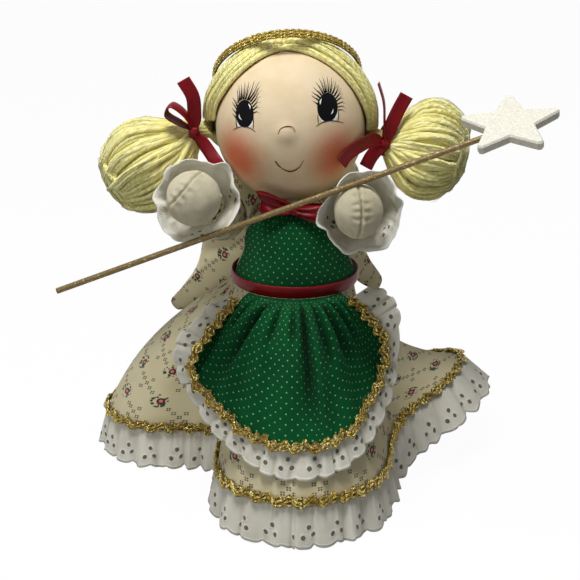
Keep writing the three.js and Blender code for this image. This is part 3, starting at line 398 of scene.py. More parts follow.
class Finish:
    """One procedural material, with what its patterns are made from."""

    def __init__(self, name, roughness=0.9, metallic=0.0, sheen=0.0, anisotropy=0.0, specular=0.5):
        self.material = bpy.data.materials.new(name)
        self.material.use_nodes = True
        self.tree = self.material.node_tree
        self.shader = next(n for n in self.tree.nodes if n.type == "BSDF_PRINCIPLED")
        for key, value in (("Roughness", roughness), ("Metallic", metallic), ("Sheen Weight", sheen),
                           ("Anisotropic", anisotropy), ("Specular IOR Level", specular)):
            self.shader.inputs[key].default_value = value
        self.colour = None
        self.height = None

    def node(self, kind, inputs=None, **settings):
        return add_node(self.tree, kind, inputs, **settings)

    def cloth_place(self):
        """Place on the cloth, in millimetres along and down."""
        source = self.node("UVMap", uv_map="cloth").outputs["UV"]
        split = self.node("SeparateXYZ", {"Vector": source})
        return Field(self.tree, split.outputs["X"]) * 1000, Field(self.tree, split.outputs["Y"]) * 1000

    def object_place(self):
        """Place in the model, in millimetres."""
        source = self.node("TexCoord").outputs["Object"]
        split = self.node("SeparateXYZ", {"Vector": source})
        return [Field(self.tree, split.outputs[axis]) * 1000 for axis in "XYZ"]

    def fold(self):
        """1 deep in a fold of the cloth, and 0 on its crests: how much painted shade a place gets."""
        return Field(self.tree, self.node("Attribute", attribute_name="fold").outputs["Fac"])

    def vector(self, x, y, z=0.0):
        return self.node("CombineXYZ", {"X": x, "Y": y, "Z": z}).outputs["Vector"]

    def grain(self, x, y, z=0.0, size=1.0, detail=3.0, rough=0.55):
        """Noise whose grains are about size millimetres."""
        inputs = {"Vector": self.vector(x, y, z), "Scale": 1 / size, "Detail": detail, "Roughness": rough}
        made = self.node("TexNoise", inputs)
        return Field(self.tree, made.outputs[0])

    def cells(self, x, y, z=0.0, size=1.0, output="Distance", feature="F1"):
        inputs = {"Vector": self.vector(x, y, z), "Scale": 1 / size}
        made = self.node("TexVoronoi", inputs, feature=feature)
        return Field(self.tree, made.outputs[output])

    def coat(self, colour, share=None):
        """Lays a colour over what is there, where share is 1."""
        if self.colour is None:
            made = self.node("RGB")
            made.outputs[0].default_value = colour
            self.colour = made.outputs[0]
            return
        self.colour = self.node("Mix", {0: share, 6: self.colour, 7: colour}, data_type="RGBA").outputs[2]

    def raise_by(self, field):
        """Adds to the relief, in millimetres."""
        self.height = field if self.height is None else self.height + field

    def done(self, strength=1.0):
        self.tree.links.new(self.colour, self.shader.inputs["Base Color"])
        if self.height is not None:
            bump = self.node("Bump", {"Height": self.height, "Strength": strength, "Distance": MM})
            self.tree.links.new(bump.outputs["Normal"], self.shader.inputs["Normal"])
        return self.material


def weave(finish, u, v, pitch=0.35, depth=0.05):
    """Threads of a plain weave."""
    over = (u * (math.tau / pitch)).sin()
    under = (v * (math.tau / pitch)).sin()
    finish.raise_by((over * under) * depth)
    finish.raise_by(finish.grain(u, v, size=6, detail=4) * 0.25)


def shaded(finish, u, v, colour, size=30, amount=0.5):
    """Slow changes of colour over the cloth."""
    field = finish.grain(u, v, size=size, detail=2)
    finish.coat(colour, field.between(0.45, 0.7) * amount)


def print_on(finish, u, v):
    """Rose sprigs and groups of small squares on a lattice that runs at a slant."""
    pitch = 15.5
    across = (u + v) * (0.7071 / pitch)
    along = (v - u) * (0.7071 / pitch)
    parity = ((across.floor() + along.floor()) * 0.5).fract() * 2
    odd = parity.between(0.4, 0.6)
    even = parity.between(0.6, 0.4)
    shift = finish.cells(across.floor(), along.floor(), size=1, output="Distance")
    x = (across.fract() - 0.5) * pitch + (shift - 0.5) * 3
    y = (along.fract() - 0.5) * pitch
    far = x.apart(y)
    leaf = finish.cells(u, v, size=1.5)
    petal = finish.cells(u, v, z=5, size=1.1)
    bloom = (x - 0.6).apart(y + 0.6)
    ring = far.between(1.8, 2.2) * far.between(5.2, 4.3)
    dense = finish.grain(u, v, size=3.4, detail=1).between(0.38, 0.44)
    finish.coat(tone(26, 66, 40), ring * leaf.between(0.66, 0.5) * dense * even)
    rose = bloom.between(2.3, 1.95) * even
    finish.coat(tone(142, 24, 30), rose)
    finish.coat(tone(72, 12, 20), rose * petal.between(0.3, 0.5) * bloom.between(1.0, 1.3))
    finish.coat(tone(222, 138, 138), bloom.between(1.15, 0.8) * even)
    # small squares in fours: five groups in a cross, and one alone at each corner of a cell
    turn_x = (x + y) * 0.7071
    turn_y = (y - x) * 0.7071
    cross = squares(turn_x.abs() - 2.9, turn_y.abs() - 2.9).most(squares(turn_x, turn_y)) * odd
    lone_x = ((across - 0.5).fract() - 0.5) * pitch
    lone_y = (along.fract() - 0.5) * pitch
    alone = squares((lone_x + lone_y) * 0.7071, (lone_y - lone_x) * 0.7071)
    finish.coat(tone(58, 42, 32), cross.most(alone) * 0.92)


def squares(x, y):
    """Four small squares about a point."""
    across = (x.abs() - 0.64).abs().between(0.52, 0.38)
    along = (y.abs() - 0.64).abs().between(0.52, 0.38)
    return across * along


def printed_cotton(name="printed_cotton"):
    finish = Finish(name, roughness=0.92, sheen=0.15)
    u, v = finish.cloth_place()
    finish.coat(tone(226, 215, 176))
    shaded(finish, u, v, tone(206, 194, 150))
    print_on(finish, u, v)
    weave(finish, u, v)
    return finish.done()


def green_cotton():
    finish = Finish("green_cotton", roughness=0.95, specular=0.15)
    u, v = finish.cloth_place()
    finish.coat(tone(4, 84, 42))
    shaded(finish, u, v, tone(2, 64, 32))
    pitch = 5.9
    dots = None
    for shift in (0.0, 0.5):
        x = ((u / pitch + shift).fract() - 0.5) * pitch
        y = ((v / pitch + shift).fract() - 0.5) * pitch
        dot = x.apart(y).between(0.5, 0.28)
        dots = dot if dots is None else dots.most(dot)
    finish.coat(tone(176, 206, 160), dots * 0.9)
    # Painted shade: dark green laid deep in the apron's creases.
    finish.coat(tone(0, 24, 10), finish.fold() * 0.9)
    weave(finish, u, v, pitch=0.3)
    return finish.done()


def eyelet_cotton(name, width, depth):
    """White cotton with groups of three stitched holes above a scalloped edge at depth. The holes are dark
    grey spots, painted shade for what is seen through them, and the folds get painted grey shade.
    """
    finish = Finish(name, roughness=0.9, sheen=0.15)
    u, v = finish.cloth_place()
    finish.coat(tone(232, 229, 214))
    shaded(finish, u, v, tone(208, 204, 186), size=20)
    x = ((u / width).fract() - 0.5) * width
    y = v - depth
    holes = threads = None
    for side, up in ((-3.3, 5.8), (3.1, 6.3), (0.5, 11.3)):
        dx, dy = x - side, y + up
        far = dx.apart(dy)
        hole = far.between(1.5, 1.2)
        stitches = (dy.math("ARCTAN2", dx) * 14).sin() * 0.35 + 0.65
        ring = far.between(1.3, 1.6) * far.between(2.8, 1.9) * stitches
        holes = hole if holes is None else holes.most(hole)
        threads = ring if threads is None else threads.most(ring)
    edge = (y + 1.2).between(0.0, 0.5)
    finish.coat(tone(246, 244, 232), threads.most(edge))
    # Painted shade: each hole is a dark grey spot, standing for the shade seen through it.
    finish.coat(tone(104, 102, 84), holes)
    # Painted shade: grey laid in the valleys of the pleats.
    finish.coat(tone(150, 147, 124), finish.fold() * 0.5)
    finish.raise_by(threads * 0.35)
    finish.raise_by(edge * ((u * (math.tau / 0.9)).sin() * 0.1 + 0.3))
    finish.raise_by(holes * -0.5)
    weave(finish, u, v)
    return finish.done()


def red_satin():
    finish = Finish("red_satin", roughness=0.4, anisotropy=0.5, specular=0.2)
    u, v = finish.cloth_place()
    finish.coat(tone(118, 0, 12))
    streaks = finish.grain(u * 0.08, v, size=0.5, detail=3)
    finish.coat(tone(104, 0, 12), streaks.between(0.45, 0.65) * 0.6)
    finish.raise_by(streaks * 0.06)
    finish.raise_by(finish.grain(u, v, size=7, detail=2) * 0.4)
    return finish.done()


def gold_braid(name="gold_braid", plain=tone(176, 142, 58), gap_shade=0.75):
    """Metal thread, plaited on the slant, with painted glints and painted shade between the threads."""
    finish = Finish(name, roughness=0.32, metallic=0.8, specular=0.4)
    u, v = finish.cloth_place()
    threads = (u * 2.6 + v * 3.4).sin() * (v * 3.4 - u * 2.6).sin()
    facets = finish.cells(u, v, size=0.75, output="Color")
    finish.coat(plain)
    # Painted shade on the low facets and between the threads, and painted glints on the high facets.
    finish.coat(tone(58, 44, 12), facets.between(0.56, 0.34) * gap_shade)
    finish.coat(tone(255, 240, 150), facets.between(0.64, 0.76))
    finish.coat(tone(38, 30, 8), threads.between(-0.2, -0.6) * gap_shade)
    finish.raise_by(threads * 0.2 + facets * 0.3)
    return finish.done()


def yellow_yarn():
    """Soft spun yarn: two plies with fine fibres, and a slow change of colour. Painted shade and painted
    highlights lie along the fibres, and painted shade in the groove between the plies.
    """
    finish = Finish("yellow_yarn", roughness=1.0, sheen=0.6, specular=0.03)
    u, v = finish.cloth_place()
    x, y, z = finish.object_place()
    finish.coat(tone(252, 246, 166))
    fibres = finish.grain(u * 1.0 + v * 0.45, v * 0.16, size=0.55, detail=5, rough=0.7)
    # Painted shade and painted highlights along the fibres.
    finish.coat(tone(232, 218, 112), fibres.between(0.5, 0.64) * 0.75)
    finish.coat(tone(255, 254, 222), fibres.between(0.47, 0.36) * 0.9)
    ply = (u * 1.667 + v * 1.6 + finish.grain(x, y, z, size=4) * 7).sin()
    # Painted shade in the groove between the two plies.
    finish.coat(tone(206, 190, 92), ply.between(-0.5, -0.95) * 0.35)
    slow = finish.grain(x, y, z, size=8, detail=2)
    finish.coat(tone(240, 228, 124), slow.between(0.5, 0.7) * 0.5)
    finish.raise_by(fibres * 0.45 + ply * 0.12)
    return finish.done()


def muslin():
    finish = Finish("muslin", roughness=0.9, sheen=0.15)
    u, v = finish.cloth_place()
    x, y, z = finish.object_place()
    finish.coat(tone(224, 215, 184))
    finish.coat(tone(196, 185, 146), finish.grain(x, y, z, size=11, detail=3).between(0.45, 0.7) * 0.6)
    weave(finish, u, v, pitch=0.4, depth=0.06)
    return finish.done()


def painted_cloth():
    """Face cloth, painted smooth, with soft blushed cheeks."""
    finish = Finish("painted_cloth", roughness=0.7, specular=0.25)
    x, y, z = finish.object_place()
    finish.coat(tone(228, 208, 174))
    finish.coat(tone(214, 190, 150), finish.grain(x, y, z, size=16, detail=3).between(0.4, 0.7) * 0.5)
    speck = finish.grain(x, y, z, size=1.4, detail=5)
    for across, down, reach in ((238, 158, 25), (337, 156, 25)):
        spot = on_face(across, down)
        dx, dy, dz = x - spot.x, y - spot.y, z - spot.z
        far = (dx * dx + dy * dy + dz * dz).math("SQRT") + (speck - 0.5) * 3.0
        finish.coat(tone(202, 84, 46), far.between(reach, 3) * 0.86)
    finish.raise_by(finish.cells(x, y, z, size=0.5) * 0.03)
    return finish.done()


def paint(name, colour, roughness):
    """Brushed paint of one colour, a little thin in places."""
    finish = Finish(name, roughness=roughness, specular=0.05)
    x, y, z = finish.object_place()
    finish.coat(colour)
    lighter = [min(1.0, value * 1.5 + 0.004) for value in colour[:3]]
    finish.coat((*lighter, 1.0), finish.grain(x, y, z, size=1.2, detail=4).between(0.55, 0.8) * 0.5)
    finish.raise_by(finish.grain(x, y, z, size=0.4) * 0.02)
    return finish.done()


def gold_wood():
    finish = Finish("gold_wood", roughness=0.36, metallic=0.6, specular=0.4)
    x, y, z = finish.object_place()
    finish.coat(tone(112, 94, 58))
    streak = finish.grain(x * 0.12, y, z, size=1.0, detail=4)
    finish.coat(tone(96, 78, 46), streak.between(0.45, 0.7) * 0.6)
    specks = finish.cells(x, y, z, size=0.55, output="Color")
    finish.coat(tone(226, 212, 162), specks.between(0.8, 0.9) * 0.5)
    finish.raise_by(specks * 0.1 + streak * 0.2)
    return finish.done()


def glitter_white():
    finish = Finish("white_wood", roughness=0.6, specular=0.3)
    x, y, z = finish.object_place()
    finish.coat(tone(222, 219, 203))
    flakes = finish.cells(x, y, z, size=0.6, output="Color")
    finish.coat(tone(240, 239, 230), flakes.between(0.55, 0.7) * 0.6)
    finish.coat(tone(202, 198, 182), flakes.between(0.3, 0.18) * 0.5)
    finish.raise_by(flakes * 0.08)
    return finish.done()


def hard_material(name, colour, patches, relief, **looks):
    """Board, wood or wire. Each patch is a colour, its grains, where they start and are full, and its
    share. The grains, of the relief too, are a stretch along x, y and z, a size and a detail."""
    finish = Finish(name, **looks)
    place = finish.object_place()

    def grains(stretch, size, detail):
        spot = [axis if by == 1 else axis * by for axis, by in zip(place, stretch)]
        return finish.grain(*spot, size=size, detail=detail)

    finish.coat(tone(*colour))
    for patch, grain, low, high, share in patches:
        finish.coat(tone(*patch), grains(*grain).between(low, high) * share)
    finish.raise_by(grains(*relief[:3]) * relief[3])
    return finish.done()


def node_materials():
    """Materials of the CAD nodes that stay."""
    board = [((150, 126, 90), ((1, 1, 1), 2.4, 5), 0.5, 0.75, 0.7),
             ((196, 178, 146), ((1, 1, 6), 9, 3), 0.5, 0.7, 0.5)]
    wood = [((170, 132, 84), ((1, 1, 0.08), 0.7, 4), 0.45, 0.7, 0.8)]
    wire = [((128, 126, 122), ((0.1, 1, 1), 0.6, 4), 0.5, 0.75, 0.6)]
    return {
        "tree_cone": hard_material("cardboard", (178, 156, 120), board, ((1, 1, 1), 1.0, 5, 0.15),
                                   roughness=0.92),
        "neck_dowel": hard_material("neck_wood", (204, 170, 120), wood, ((1, 1, 0.1), 0.5, 3, 0.1),
                                    roughness=0.7),
        "arm_wire": hard_material("steel_wire", (176, 178, 180), wire, ((0.1, 1, 1), 0.3, 3, 0.03),
                                  roughness=0.3, metallic=1.0),
        "wand_dowel": gold_wood(),
        "wand_star": glitter_white(),
    }


# Head frame

HEAD = Matrix.Translation((0, 0, NECK_HEIGHT)) @ Matrix.Rotation(HEAD_TILT, 4, "Y")
HEAD_CENTRE = HEAD @ Vector((0, 0, HEAD_RISE))


def seen_on_ball(middle, reach, across, down):
    """The point of a ball, or the nearest one, that the camera sees at a point of its picture."""
    way = sight(across, down)
    from_middle = VIEW_POINT - middle
    along = way.dot(from_middle)
    inside = along * along - from_middle.length_squared + reach * reach
    return VIEW_POINT + way * (-along - math.sqrt(max(inside, 0.0)))


def on_face(across, down, lift=0.0):
    return seen_on_ball(HEAD_CENTRE, HEAD_RADIUS + lift, across, down)


COTTON = printed_cotton()
GREEN = green_cotton()
SKIRT_LACE = eyelet_cotton("eyelet_cotton", 18.5, 24.5)
APRON_LACE = eyelet_cotton("eyelet_cotton_apron", 17, 19)
CUFF_LACE = eyelet_cotton("eyelet_cotton_cuff", 47, 19)
SATIN = red_satin()
GOLD = gold_braid()
# The halo's braid: lighter gold, with less painted shade between the threads.
BRIGHT_GOLD = gold_braid("bright_gold_braid", tone(190, 160, 70), 0.55)
YARN = yellow_yarn()
MUSLIN = muslin()
SKIN = painted_cloth()
BLACK = paint("black_paint", tone(10, 11, 13), 0.4)
WHITE = paint("white_paint", tone(240, 240, 238), 0.4)
BROWN = paint("brown_paint", tone(58, 34, 26), 0.5)
LIP = paint("lip_paint", tone(128, 52, 34), 0.5)


for node, node_material in node_materials().items():
    for material_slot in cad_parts[node].material_slots:
        material_slot.material = node_material

# Lift, sway and reach of each arm, radius of its mitten and place of its cuff's tack on the wand.
ARMS = {
    -1: (20.8, -5.3, 98.8, 14.2, 93.6),
    1: (17, -7.2, 96.9, 12.7, 155),
}


def arm_way(side):
    lift, sway = (math.radians(value) for value in ARMS[side][:2])
    return Vector((math.sin(sway) * math.cos(lift), -math.cos(sway) * math.cos(lift), math.sin(lift)))


ARMS_LOWERED = math.radians(16)
SLEEVE_ROOM, SLEEVE_ROOM_LENGTH = 15.6, 56.0
SLEEVE_GAP = 3.9


def clear_of_sleeve(point, offset):
    """Moves a point of the dress, or of a layer that lies offset over it, out of the room that the
    right sleeve needs when the arms go down."""
    way = Matrix.Rotation(ARMS_LOWERED, 3, "X") @ arm_way(1)
    shoulder = Vector((SHOULDER_SIDE, SHOULDER_BACK, SHOULDER_HEIGHT))
    along = min(max((point - shoulder).dot(way), 0.0), SLEEVE_ROOM_LENGTH)
    off = point - shoulder - way * along
    room = SLEEVE_ROOM + (SLEEVE_GAP - offset)
    return point if off.length > room else shoulder + way * along + off.normalized() * room


# Torso, bodice, bib and waist ribbon

TORSO_STATIONS = [
    (WAIST, 0), (WAIST, 0.055), (CHEST * 0.96, 0.19), (CHEST, 0.36), (CHEST * 0.985, 0.56),
    (SHOULDER, 0.72), (SHOULDER * 0.86, 0.85), (SHOULDER * 0.65, 0.93), (NECK, 0.97),
]
TORSO_SPANS = len(TORSO_STATIONS) - 1
TORSO_CURVE = Spline([(radius, TORSO_BASE + rise * TORSO_HEIGHT, 0) for radius, rise in TORSO_STATIONS])


def torso_point(degrees, share, offset):
    here = TORSO_CURVE(share)
    radius, height = here.x, here.y
    along = (TORSO_CURVE(min(share + 1e-4, 1)) - TORSO_CURVE(max(share - 1e-4, 0))).normalized()
    wide = 1 - (1 - CHEST_SHARE) * smooth(((height - TORSO_BASE) / TORSO_HEIGHT - 0.1) / 0.35)
    turn = math.radians(degrees)
    normal = Vector((math.sin(turn) / wide, -math.cos(turn), 0)).normalized() * along.y
    normal.z = -along.x
    return Vector((radius * wide * math.sin(turn), -radius * math.cos(turn), height)) + normal * offset


def torso_sheet(top, foot, offset, half, ripple=None):
    """Place on a sheet that lies offset over the torso, from station top down to station foot.
    half(v) is how many degrees it reaches to each side."""
    def place(u, v):
        degrees = (u - 0.5) * 2 * half(v)
        out = offset + (ripple(u, v) if ripple else 0)
        return clear_of_sleeve(torso_point(degrees, mix(top, foot, v) / TORSO_SPANS, out), offset)
    return place


def make_torso():
    bm = new_mesh()
    foot_share = 0.3

    def place(u, v):
        degrees = u * 360 - 180
        if v < 1 - foot_share:
            dimples = Vector((0, 0, 0.2 * waver(u * 30, v * 20, 3)))
            return clear_of_sleeve(torso_point(degrees, 1 - v / (1 - foot_share), 0) + dimples, 0)
        down = (v - (1 - foot_share)) / foot_share
        reach = mix(WAIST, 19.8, smooth(down * 3)) * (1 if down < 0.8 else (1 - down) / 0.2)
        return around(degrees, reach, TORSO_BASE - 12.6 * smooth((down - 0.2) * 2))

    add_grid(bm, place, 64, 40, size=(220, 100))
    bmesh.ops.holes_fill(bm, edges=bm.edges, sides=0)
    stand_in(finish_mesh("stuffed_torso", bm, "dress", [MUSLIN]), "torso")


def make_bodice():
    place = torso_sheet(7, 0, 1.65, lambda v: 180)
    cloth("cotton_bodice", place, 128, 40, "dress", COTTON, held="stretched",
          rests_on=["stuffed_torso"], stands_for=["dress_bodice"])


def make_bib():
    place = torso_sheet(6, 1, 3.3, lambda v: 48 + 28 * smooth(v * 2.2))
    cloth("green_bib", place, 72, 44, "dress", GREEN, held="stretched",
          rests_on=["cotton_bodice"], stands_for=["apron_bib"])


def make_waist_ribbon():
    def crown(u, v):
        return 0.5 * math.sin(math.pi * v) + 0.15 * waver(u * 14, v * 2, 1)

    place = torso_sheet(2, 1, 4.85, lambda v: 180, crown)
    cloth("waist_satin", place, 160, 10, "dress", SATIN, thick=0.5, held="stretched",
          rests_on=["green_bib"], stands_for=["waist_ribbon"])


make_torso()
make_bodice()
make_bib()
make_waist_ribbon()

# Skirt

# Degrees at the waist, degrees at the hem, shares of the reach and of the lift.
SEAM_STATIONS = [
    (0, 0, .785, 0), (-18, -14, .745, 0), (-34, -26, .69, 0), (-50, -39, .575, 0), (-64, -55, .44, 0),
    (-77, -78, .385, 0), (-86, -87, .53, 0), (-94, -89, .75, 0), (-102, -95, .91, 0), (-112, -106, 1.03, 0),
    (-126, -122, 1, 0), (-144, -142, .83, 0), (-162, -162, .75, 0), (-180, -180, .82, 0),
    (-200, -200, .75, .08), (-218, -218, .82, .27), (-234, -234, .93, .62), (-247, -249, .96, .88),
    (-258, -257, .88, .84), (-267, -266, .75, .66), (-276, -276, .61, .46), (-288, -288, .54, .27),
    (-304, -302, .545, .12), (-317, -316, .625, .03), (-330, -331, .72, 0), (-346, -346, .765, 0),
]
SEAM_STEPS = 720


def make_seam():
    """Even steps along the hem, as degrees at the waist and a point, and the hem's length."""
    rows = [SEAM_STATIONS[0]]
    rows += [(w + 360, h + 360, r, l) for w, h, r, l in reversed(SEAM_STATIONS[1:])]
    curve = Spline([around(h, r * SEAM_REACH, SEAM_HEIGHT + l * SEAM_LIFT) for _, h, r, l in rows], True)
    waists = [row[0] for row in rows] + [360]
    shares, length = even_shares(curve, SEAM_STEPS, 2)
    seam = []
    for share in shares[:-1]:
        slot = share * len(rows)
        at = int(slot)
        seam.append((mix(waists[at], waists[at + 1], slot - at), curve(share)))
    return seam, length


SEAM, SEAM_LENGTH = make_seam()


def seam_at(u):
    """Degrees at the waist and the point of the hem, at a share of the hem's length."""
    slot = (u % 1) * SEAM_STEPS
    at, part = int(slot) % SEAM_STEPS, slot - int(slot)
    after = SEAM[(at + 1) % SEAM_STEPS]
    waist = mix(SEAM[at][0], after[0] if at + 1 < SEAM_STEPS else 360, part)
    return waist, SEAM[at][1].lerp(after[1], part)


def seam_point(u):
    return seam_at(u)[1]


def seam_outward(u, span=0.008):
    before, after = seam_point(u - span), seam_point(u + span)
    return Vector((after.y - before.y, before.x - after.x, 0)).normalized()


# Shares of reach and drop at both handles of a rib: where the hem stands low, and where it is lifted.
SWELLING_RIB = (0.1, 0.07, 0.74, 0.4)
FALLING_RIB = (0.03, 0.3, 0.28, 0.86)


def rib(waist, foot, top_radius, share):
    """A point of one rib of the skirt, from the waist at 0 to the hem at 1."""
    reach = math.hypot(foot.x, foot.y)
    drop = SKIRT_TOP - foot.z
    lifted = smooth((foot.z - SEAM_HEIGHT) / SEAM_LIFT * 2.2)
    early_out, early_down, late_out, late_down = [
        mix(low, high, lifted) for low, high in zip(SWELLING_RIB, FALLING_RIB)]
    outward = Vector((foot.x, foot.y, 0)).normalized()
    start = around(waist, top_radius, SKIRT_TOP)
    early = around(waist, top_radius + (reach - top_radius) * early_out, SKIRT_TOP - drop * early_down)
    late = outward * (top_radius + (reach - top_radius) * late_out)
    late.z = SKIRT_TOP - drop * late_down
    rest = 1 - share
    return (start * rest ** 3 + early * (3 * rest ** 2 * share)
            + late * (3 * rest * share ** 2) + foot * share ** 3)


def skirt_surface(u, v):
    point = rib(*seam_at(u), SKIRT_TOP_RADIUS, v)
    outward = Vector((point.x, point.y, 0)).normalized()
    gather = (1 - math.cos(math.tau * 52 * u + 2 * waver(u * 40, 0, 2))) * 0.5
    depth = 1.5 * smooth(v * 14) * (1 - smooth((v - 0.12) / 0.4))
    soft = 0.9 * waver(u * 60, v * 3, 7) * smooth((v - 0.35) * 2) * (1 - smooth((v - 0.8) * 5))
    return point + outward * (soft - gather * depth)


def make_skirt():
    cloth("cotton_skirt", skirt_surface, 720, 30, "dress", COTTON, row=0.7, column=0.02, thick=0.8,
          rests_on=["waist_satin"], stands_for=["dress_skirt"])


class Pleats:
    """Uneven pleats of a frill, with u along it and v from its seam to its edge. drift, swell and
    snap are each an amount, how often it changes along the frill, and a seed."""

    def __init__(self, count, skew, size, drift, swell, snap):
        self.count, self.skew, self.size = count, skew, size
        self.drift, self.swell, self.snap = drift, swell, snap

    def read(self, u):
        """The turn of the pleats at a place, how full they are there and how sharp."""
        amount, rate, seed = self.drift
        swing = math.tau * self.count * u + amount * waver(u * rate, 0, seed)
        full = waver(u * self.swell[1], 4, self.swell[2])
        sharp = max(0.0, waver(u * self.snap[1], 7, self.snap[2]))
        return swing, full, sharp

    def move(self, u, v):
        """How far the cloth goes off its sheet at its free edge, and how far it leans along it."""
        swing, full, sharp = self.read(u)
        wave = math.sin(swing + self.skew * math.sin(swing)) * (self.size + self.swell[0] * full)
        return wave, (0.5 + sharp * self.snap[0]) * math.cos(swing) * v ** 0.7

    # How much painted shade a place gets in the valleys of the pleats.
    def fold(self, u, v):
        swing, full, sharp = self.read(u)
        valley = max(0.0, -math.sin(swing + self.skew * math.sin(swing) + 0.4)) ** 2
        return valley * max(0.0, 0.35 + 0.9 * sharp + 0.5 * full) * (0.5 + 0.5 * v)


def frill_frame(u):
    top = seam_point(u)
    outward = seam_outward(u)
    lift = (top.z - SEAM_HEIGHT) / SEAM_LIFT
    flare = math.radians(13 + 34 * smooth(lift))
    depth = min(FRILL_DEPTH, (top.z - 1.0) / math.cos(flare))
    down = outward * math.sin(flare)
    down.z = -math.cos(flare)
    return top, outward, down, depth


def scallop(along, width, depth):
    """How far the edge is cut back, at a length along it."""
    return depth * (1 - abs(math.sin(math.pi * along / width)) ** 0.7)


def make_skirt_frill():
    pleats = Pleats(46, 0.6, 1.7, (4.2, 31, 5), (1.7, 29, 1), (3.2, 37, 2))

    def place(u, v):
        top, outward, down, depth = frill_frame(u)
        wave, lean = pleats.move(u, v)
        side = outward.cross(Vector((0, 0, 1)))
        gathers = math.sin(math.tau * pleats.count * 4 * u + 5 * waver(u * 60, 2, 2))
        fine = 0.3 * gathers * (1 - v) ** 2
        ripple = 0.35 * waver(u * 160, v * 3, 3) * v
        cut = scallop(u * SEAM_LENGTH * 1.12, 12.2, 2.1)
        start = -0.8
        reach = start + (depth - start - cut * smooth(v * 1.2)) * v
        return top + down * reach + outward * (wave * v ** 0.55 + fine + ripple) + side * lean

    cloth("lace_skirt_ruffle", place, 1392, 12, "dress", SKIRT_LACE, row=0.75, column=0.01, thick=0.5,
          fold=pleats.fold, slot="eyelet_cotton", rests_on=["cotton_skirt"],
          stands_for=["skirt_ruffle"])


# Cords of a braid: shift along its wave, place across, width and height over the cloth.
GIMP_CORDS = [(0.0, 1.0, 2.5, 0.45), (0.03, -1.0, 2.5, 0.45), (0.5, 0.0, 2.0, -0.25)]
GIMP_SWING = 2.0


def add_gimp(bm, base, period, length):
    """Wavy cords of metal thread: two side by side, and a thin one that crosses them.
    base(share) gives a point, the way across and the way off."""
    turns = round(length / period)
    steps = turns * 12
    for strand, (shift, apart, wide, height) in enumerate(GIMP_CORDS):
        path, frames = [], []
        for step in range(steps + 1):
            share = step / steps
            point, across, off = base(share)
            phase = math.tau * (turns * share + shift)
            wave = math.sin(phase) + 0.2 * math.sin(2 * phase + 0.6)
            rise = height + 0.3 * math.cos(phase) + 0.2 * waver(share * turns, strand, 3)
            path.append(point + across * (wave * GIMP_SWING + apart) + off * rise)
            frames.append((across, off))

        def section(share, turn, wide=wide):
            ridge = 1 + 0.2 * abs(math.cos(2.5 * turn))
            return (wide / 2 * (0.9 + 0.1 * math.cos(math.tau * turns * share)), 0.9 * ridge)

        add_tube(bm, path, section, 10, frames)


def make_skirt_braid():
    bm = new_mesh()

    def base(share):
        down = (seam_point(share) - skirt_surface(share, 0.94)).normalized()
        outward = seam_outward(share)
        off = (outward - down * outward.dot(down)).normalized()
        return seam_point(share) - down * 2.8 + off * 1.8, down, off

    add_gimp(bm, base, 12.4, SEAM_LENGTH)
    stand_in(finish_mesh("gold_skirt_braid", bm, "dress", [GOLD]), "skirt_braid")


make_skirt()
make_skirt_frill()
make_skirt_braid()

# Apron

# Degrees gathered at the waist, then degrees and shares of reach and drop for the edge and the frill.
APRON_STATIONS = [
    (-47, -46.4, .44, .01, -52, .515, 0), (-47, -45.8, .52, .055, -56.5, .62, .035),
    (-47, -45.2, .63, .145, -56, .73, .125), (-47, -45, .77, .255, -56, .865, .235),
    (-40, -46.5, .83, .395, -54.5, .9, .41), (-31, -40, .825, .52, -46, .88, .6),
    (-22, -30, .825, .63, -34, .9, .77), (-13, -18.5, .865, .72, -20, .935, .9),
    (-4, -5, .91, .765, -6, .995, .985), (5, 8.5, .915, .765, 9, 1, .98),
    (14, 19.5, .88, .715, 22, .965, .905), (23, 32.5, .8, .555, 36, .89, .71),
    (35, 42, .765, .385, 46, .85, .46), (46, 46.5, .715, .2, 53, .79, .08),
    (51, 50, .635, .11, 55.5, .74, 0), (53, 52, .55, .04, 57, .66, -.06),
    (53, 52, .475, -.01, 56, .53, -.08),
]
APRON_LAST = len(APRON_STATIONS) - 1
APRON_CORNER = 3 / APRON_LAST
APRON_EDGE_HEIGHT = SKIRT_TOP - 1
APRON_TOP_RADIUS = 37.3
APRON_FOLDS = 9


def apron_place(degrees, reach, drop):
    return around(degrees, reach * APRON_REACH, APRON_EDGE_HEIGHT - drop * APRON_DROP)


APRON_EDGE = Spline([apron_place(*row[1:4]) for row in APRON_STATIONS])
APRON_RIM = Spline([apron_place(*row[4:]) for row in APRON_STATIONS])


def side_fade(u):
    return 0.25 + 0.75 * smooth(u * 3.5) * smooth((1 - u) * 3.5)


def apron_start(u):
    slot = (APRON_CORNER + (1 - 2 * APRON_CORNER) * u) * APRON_LAST
    at = min(int(slot), APRON_LAST - 1)
    degrees = mix(APRON_STATIONS[at][0], APRON_STATIONS[at + 1][0], slot - at)
    return around(degrees, APRON_TOP_RADIUS, SKIRT_TOP)


# Creases of the apron: place along the waist, drift towards the edge, depth, width and how far down.
APRON_CREASES = [
    (0.20, -0.05, 3.6, 0.011, 0.5), (0.335, -0.13, 5.6, 0.014, 0.8), (0.44, -0.05, 3.8, 0.010, 0.42),
    (0.53, 0.0, 4.0, 0.010, 0.42), (0.585, 0.0, 5.8, 0.012, 0.95), (0.67, 0.03, 4.6, 0.010, 0.6),
    (0.74, 0.05, 5.2, 0.012, 0.7), (0.81, 0.05, 4.8, 0.011, 0.66), (0.88, 0.04, 3.2, 0.010, 0.5),
]


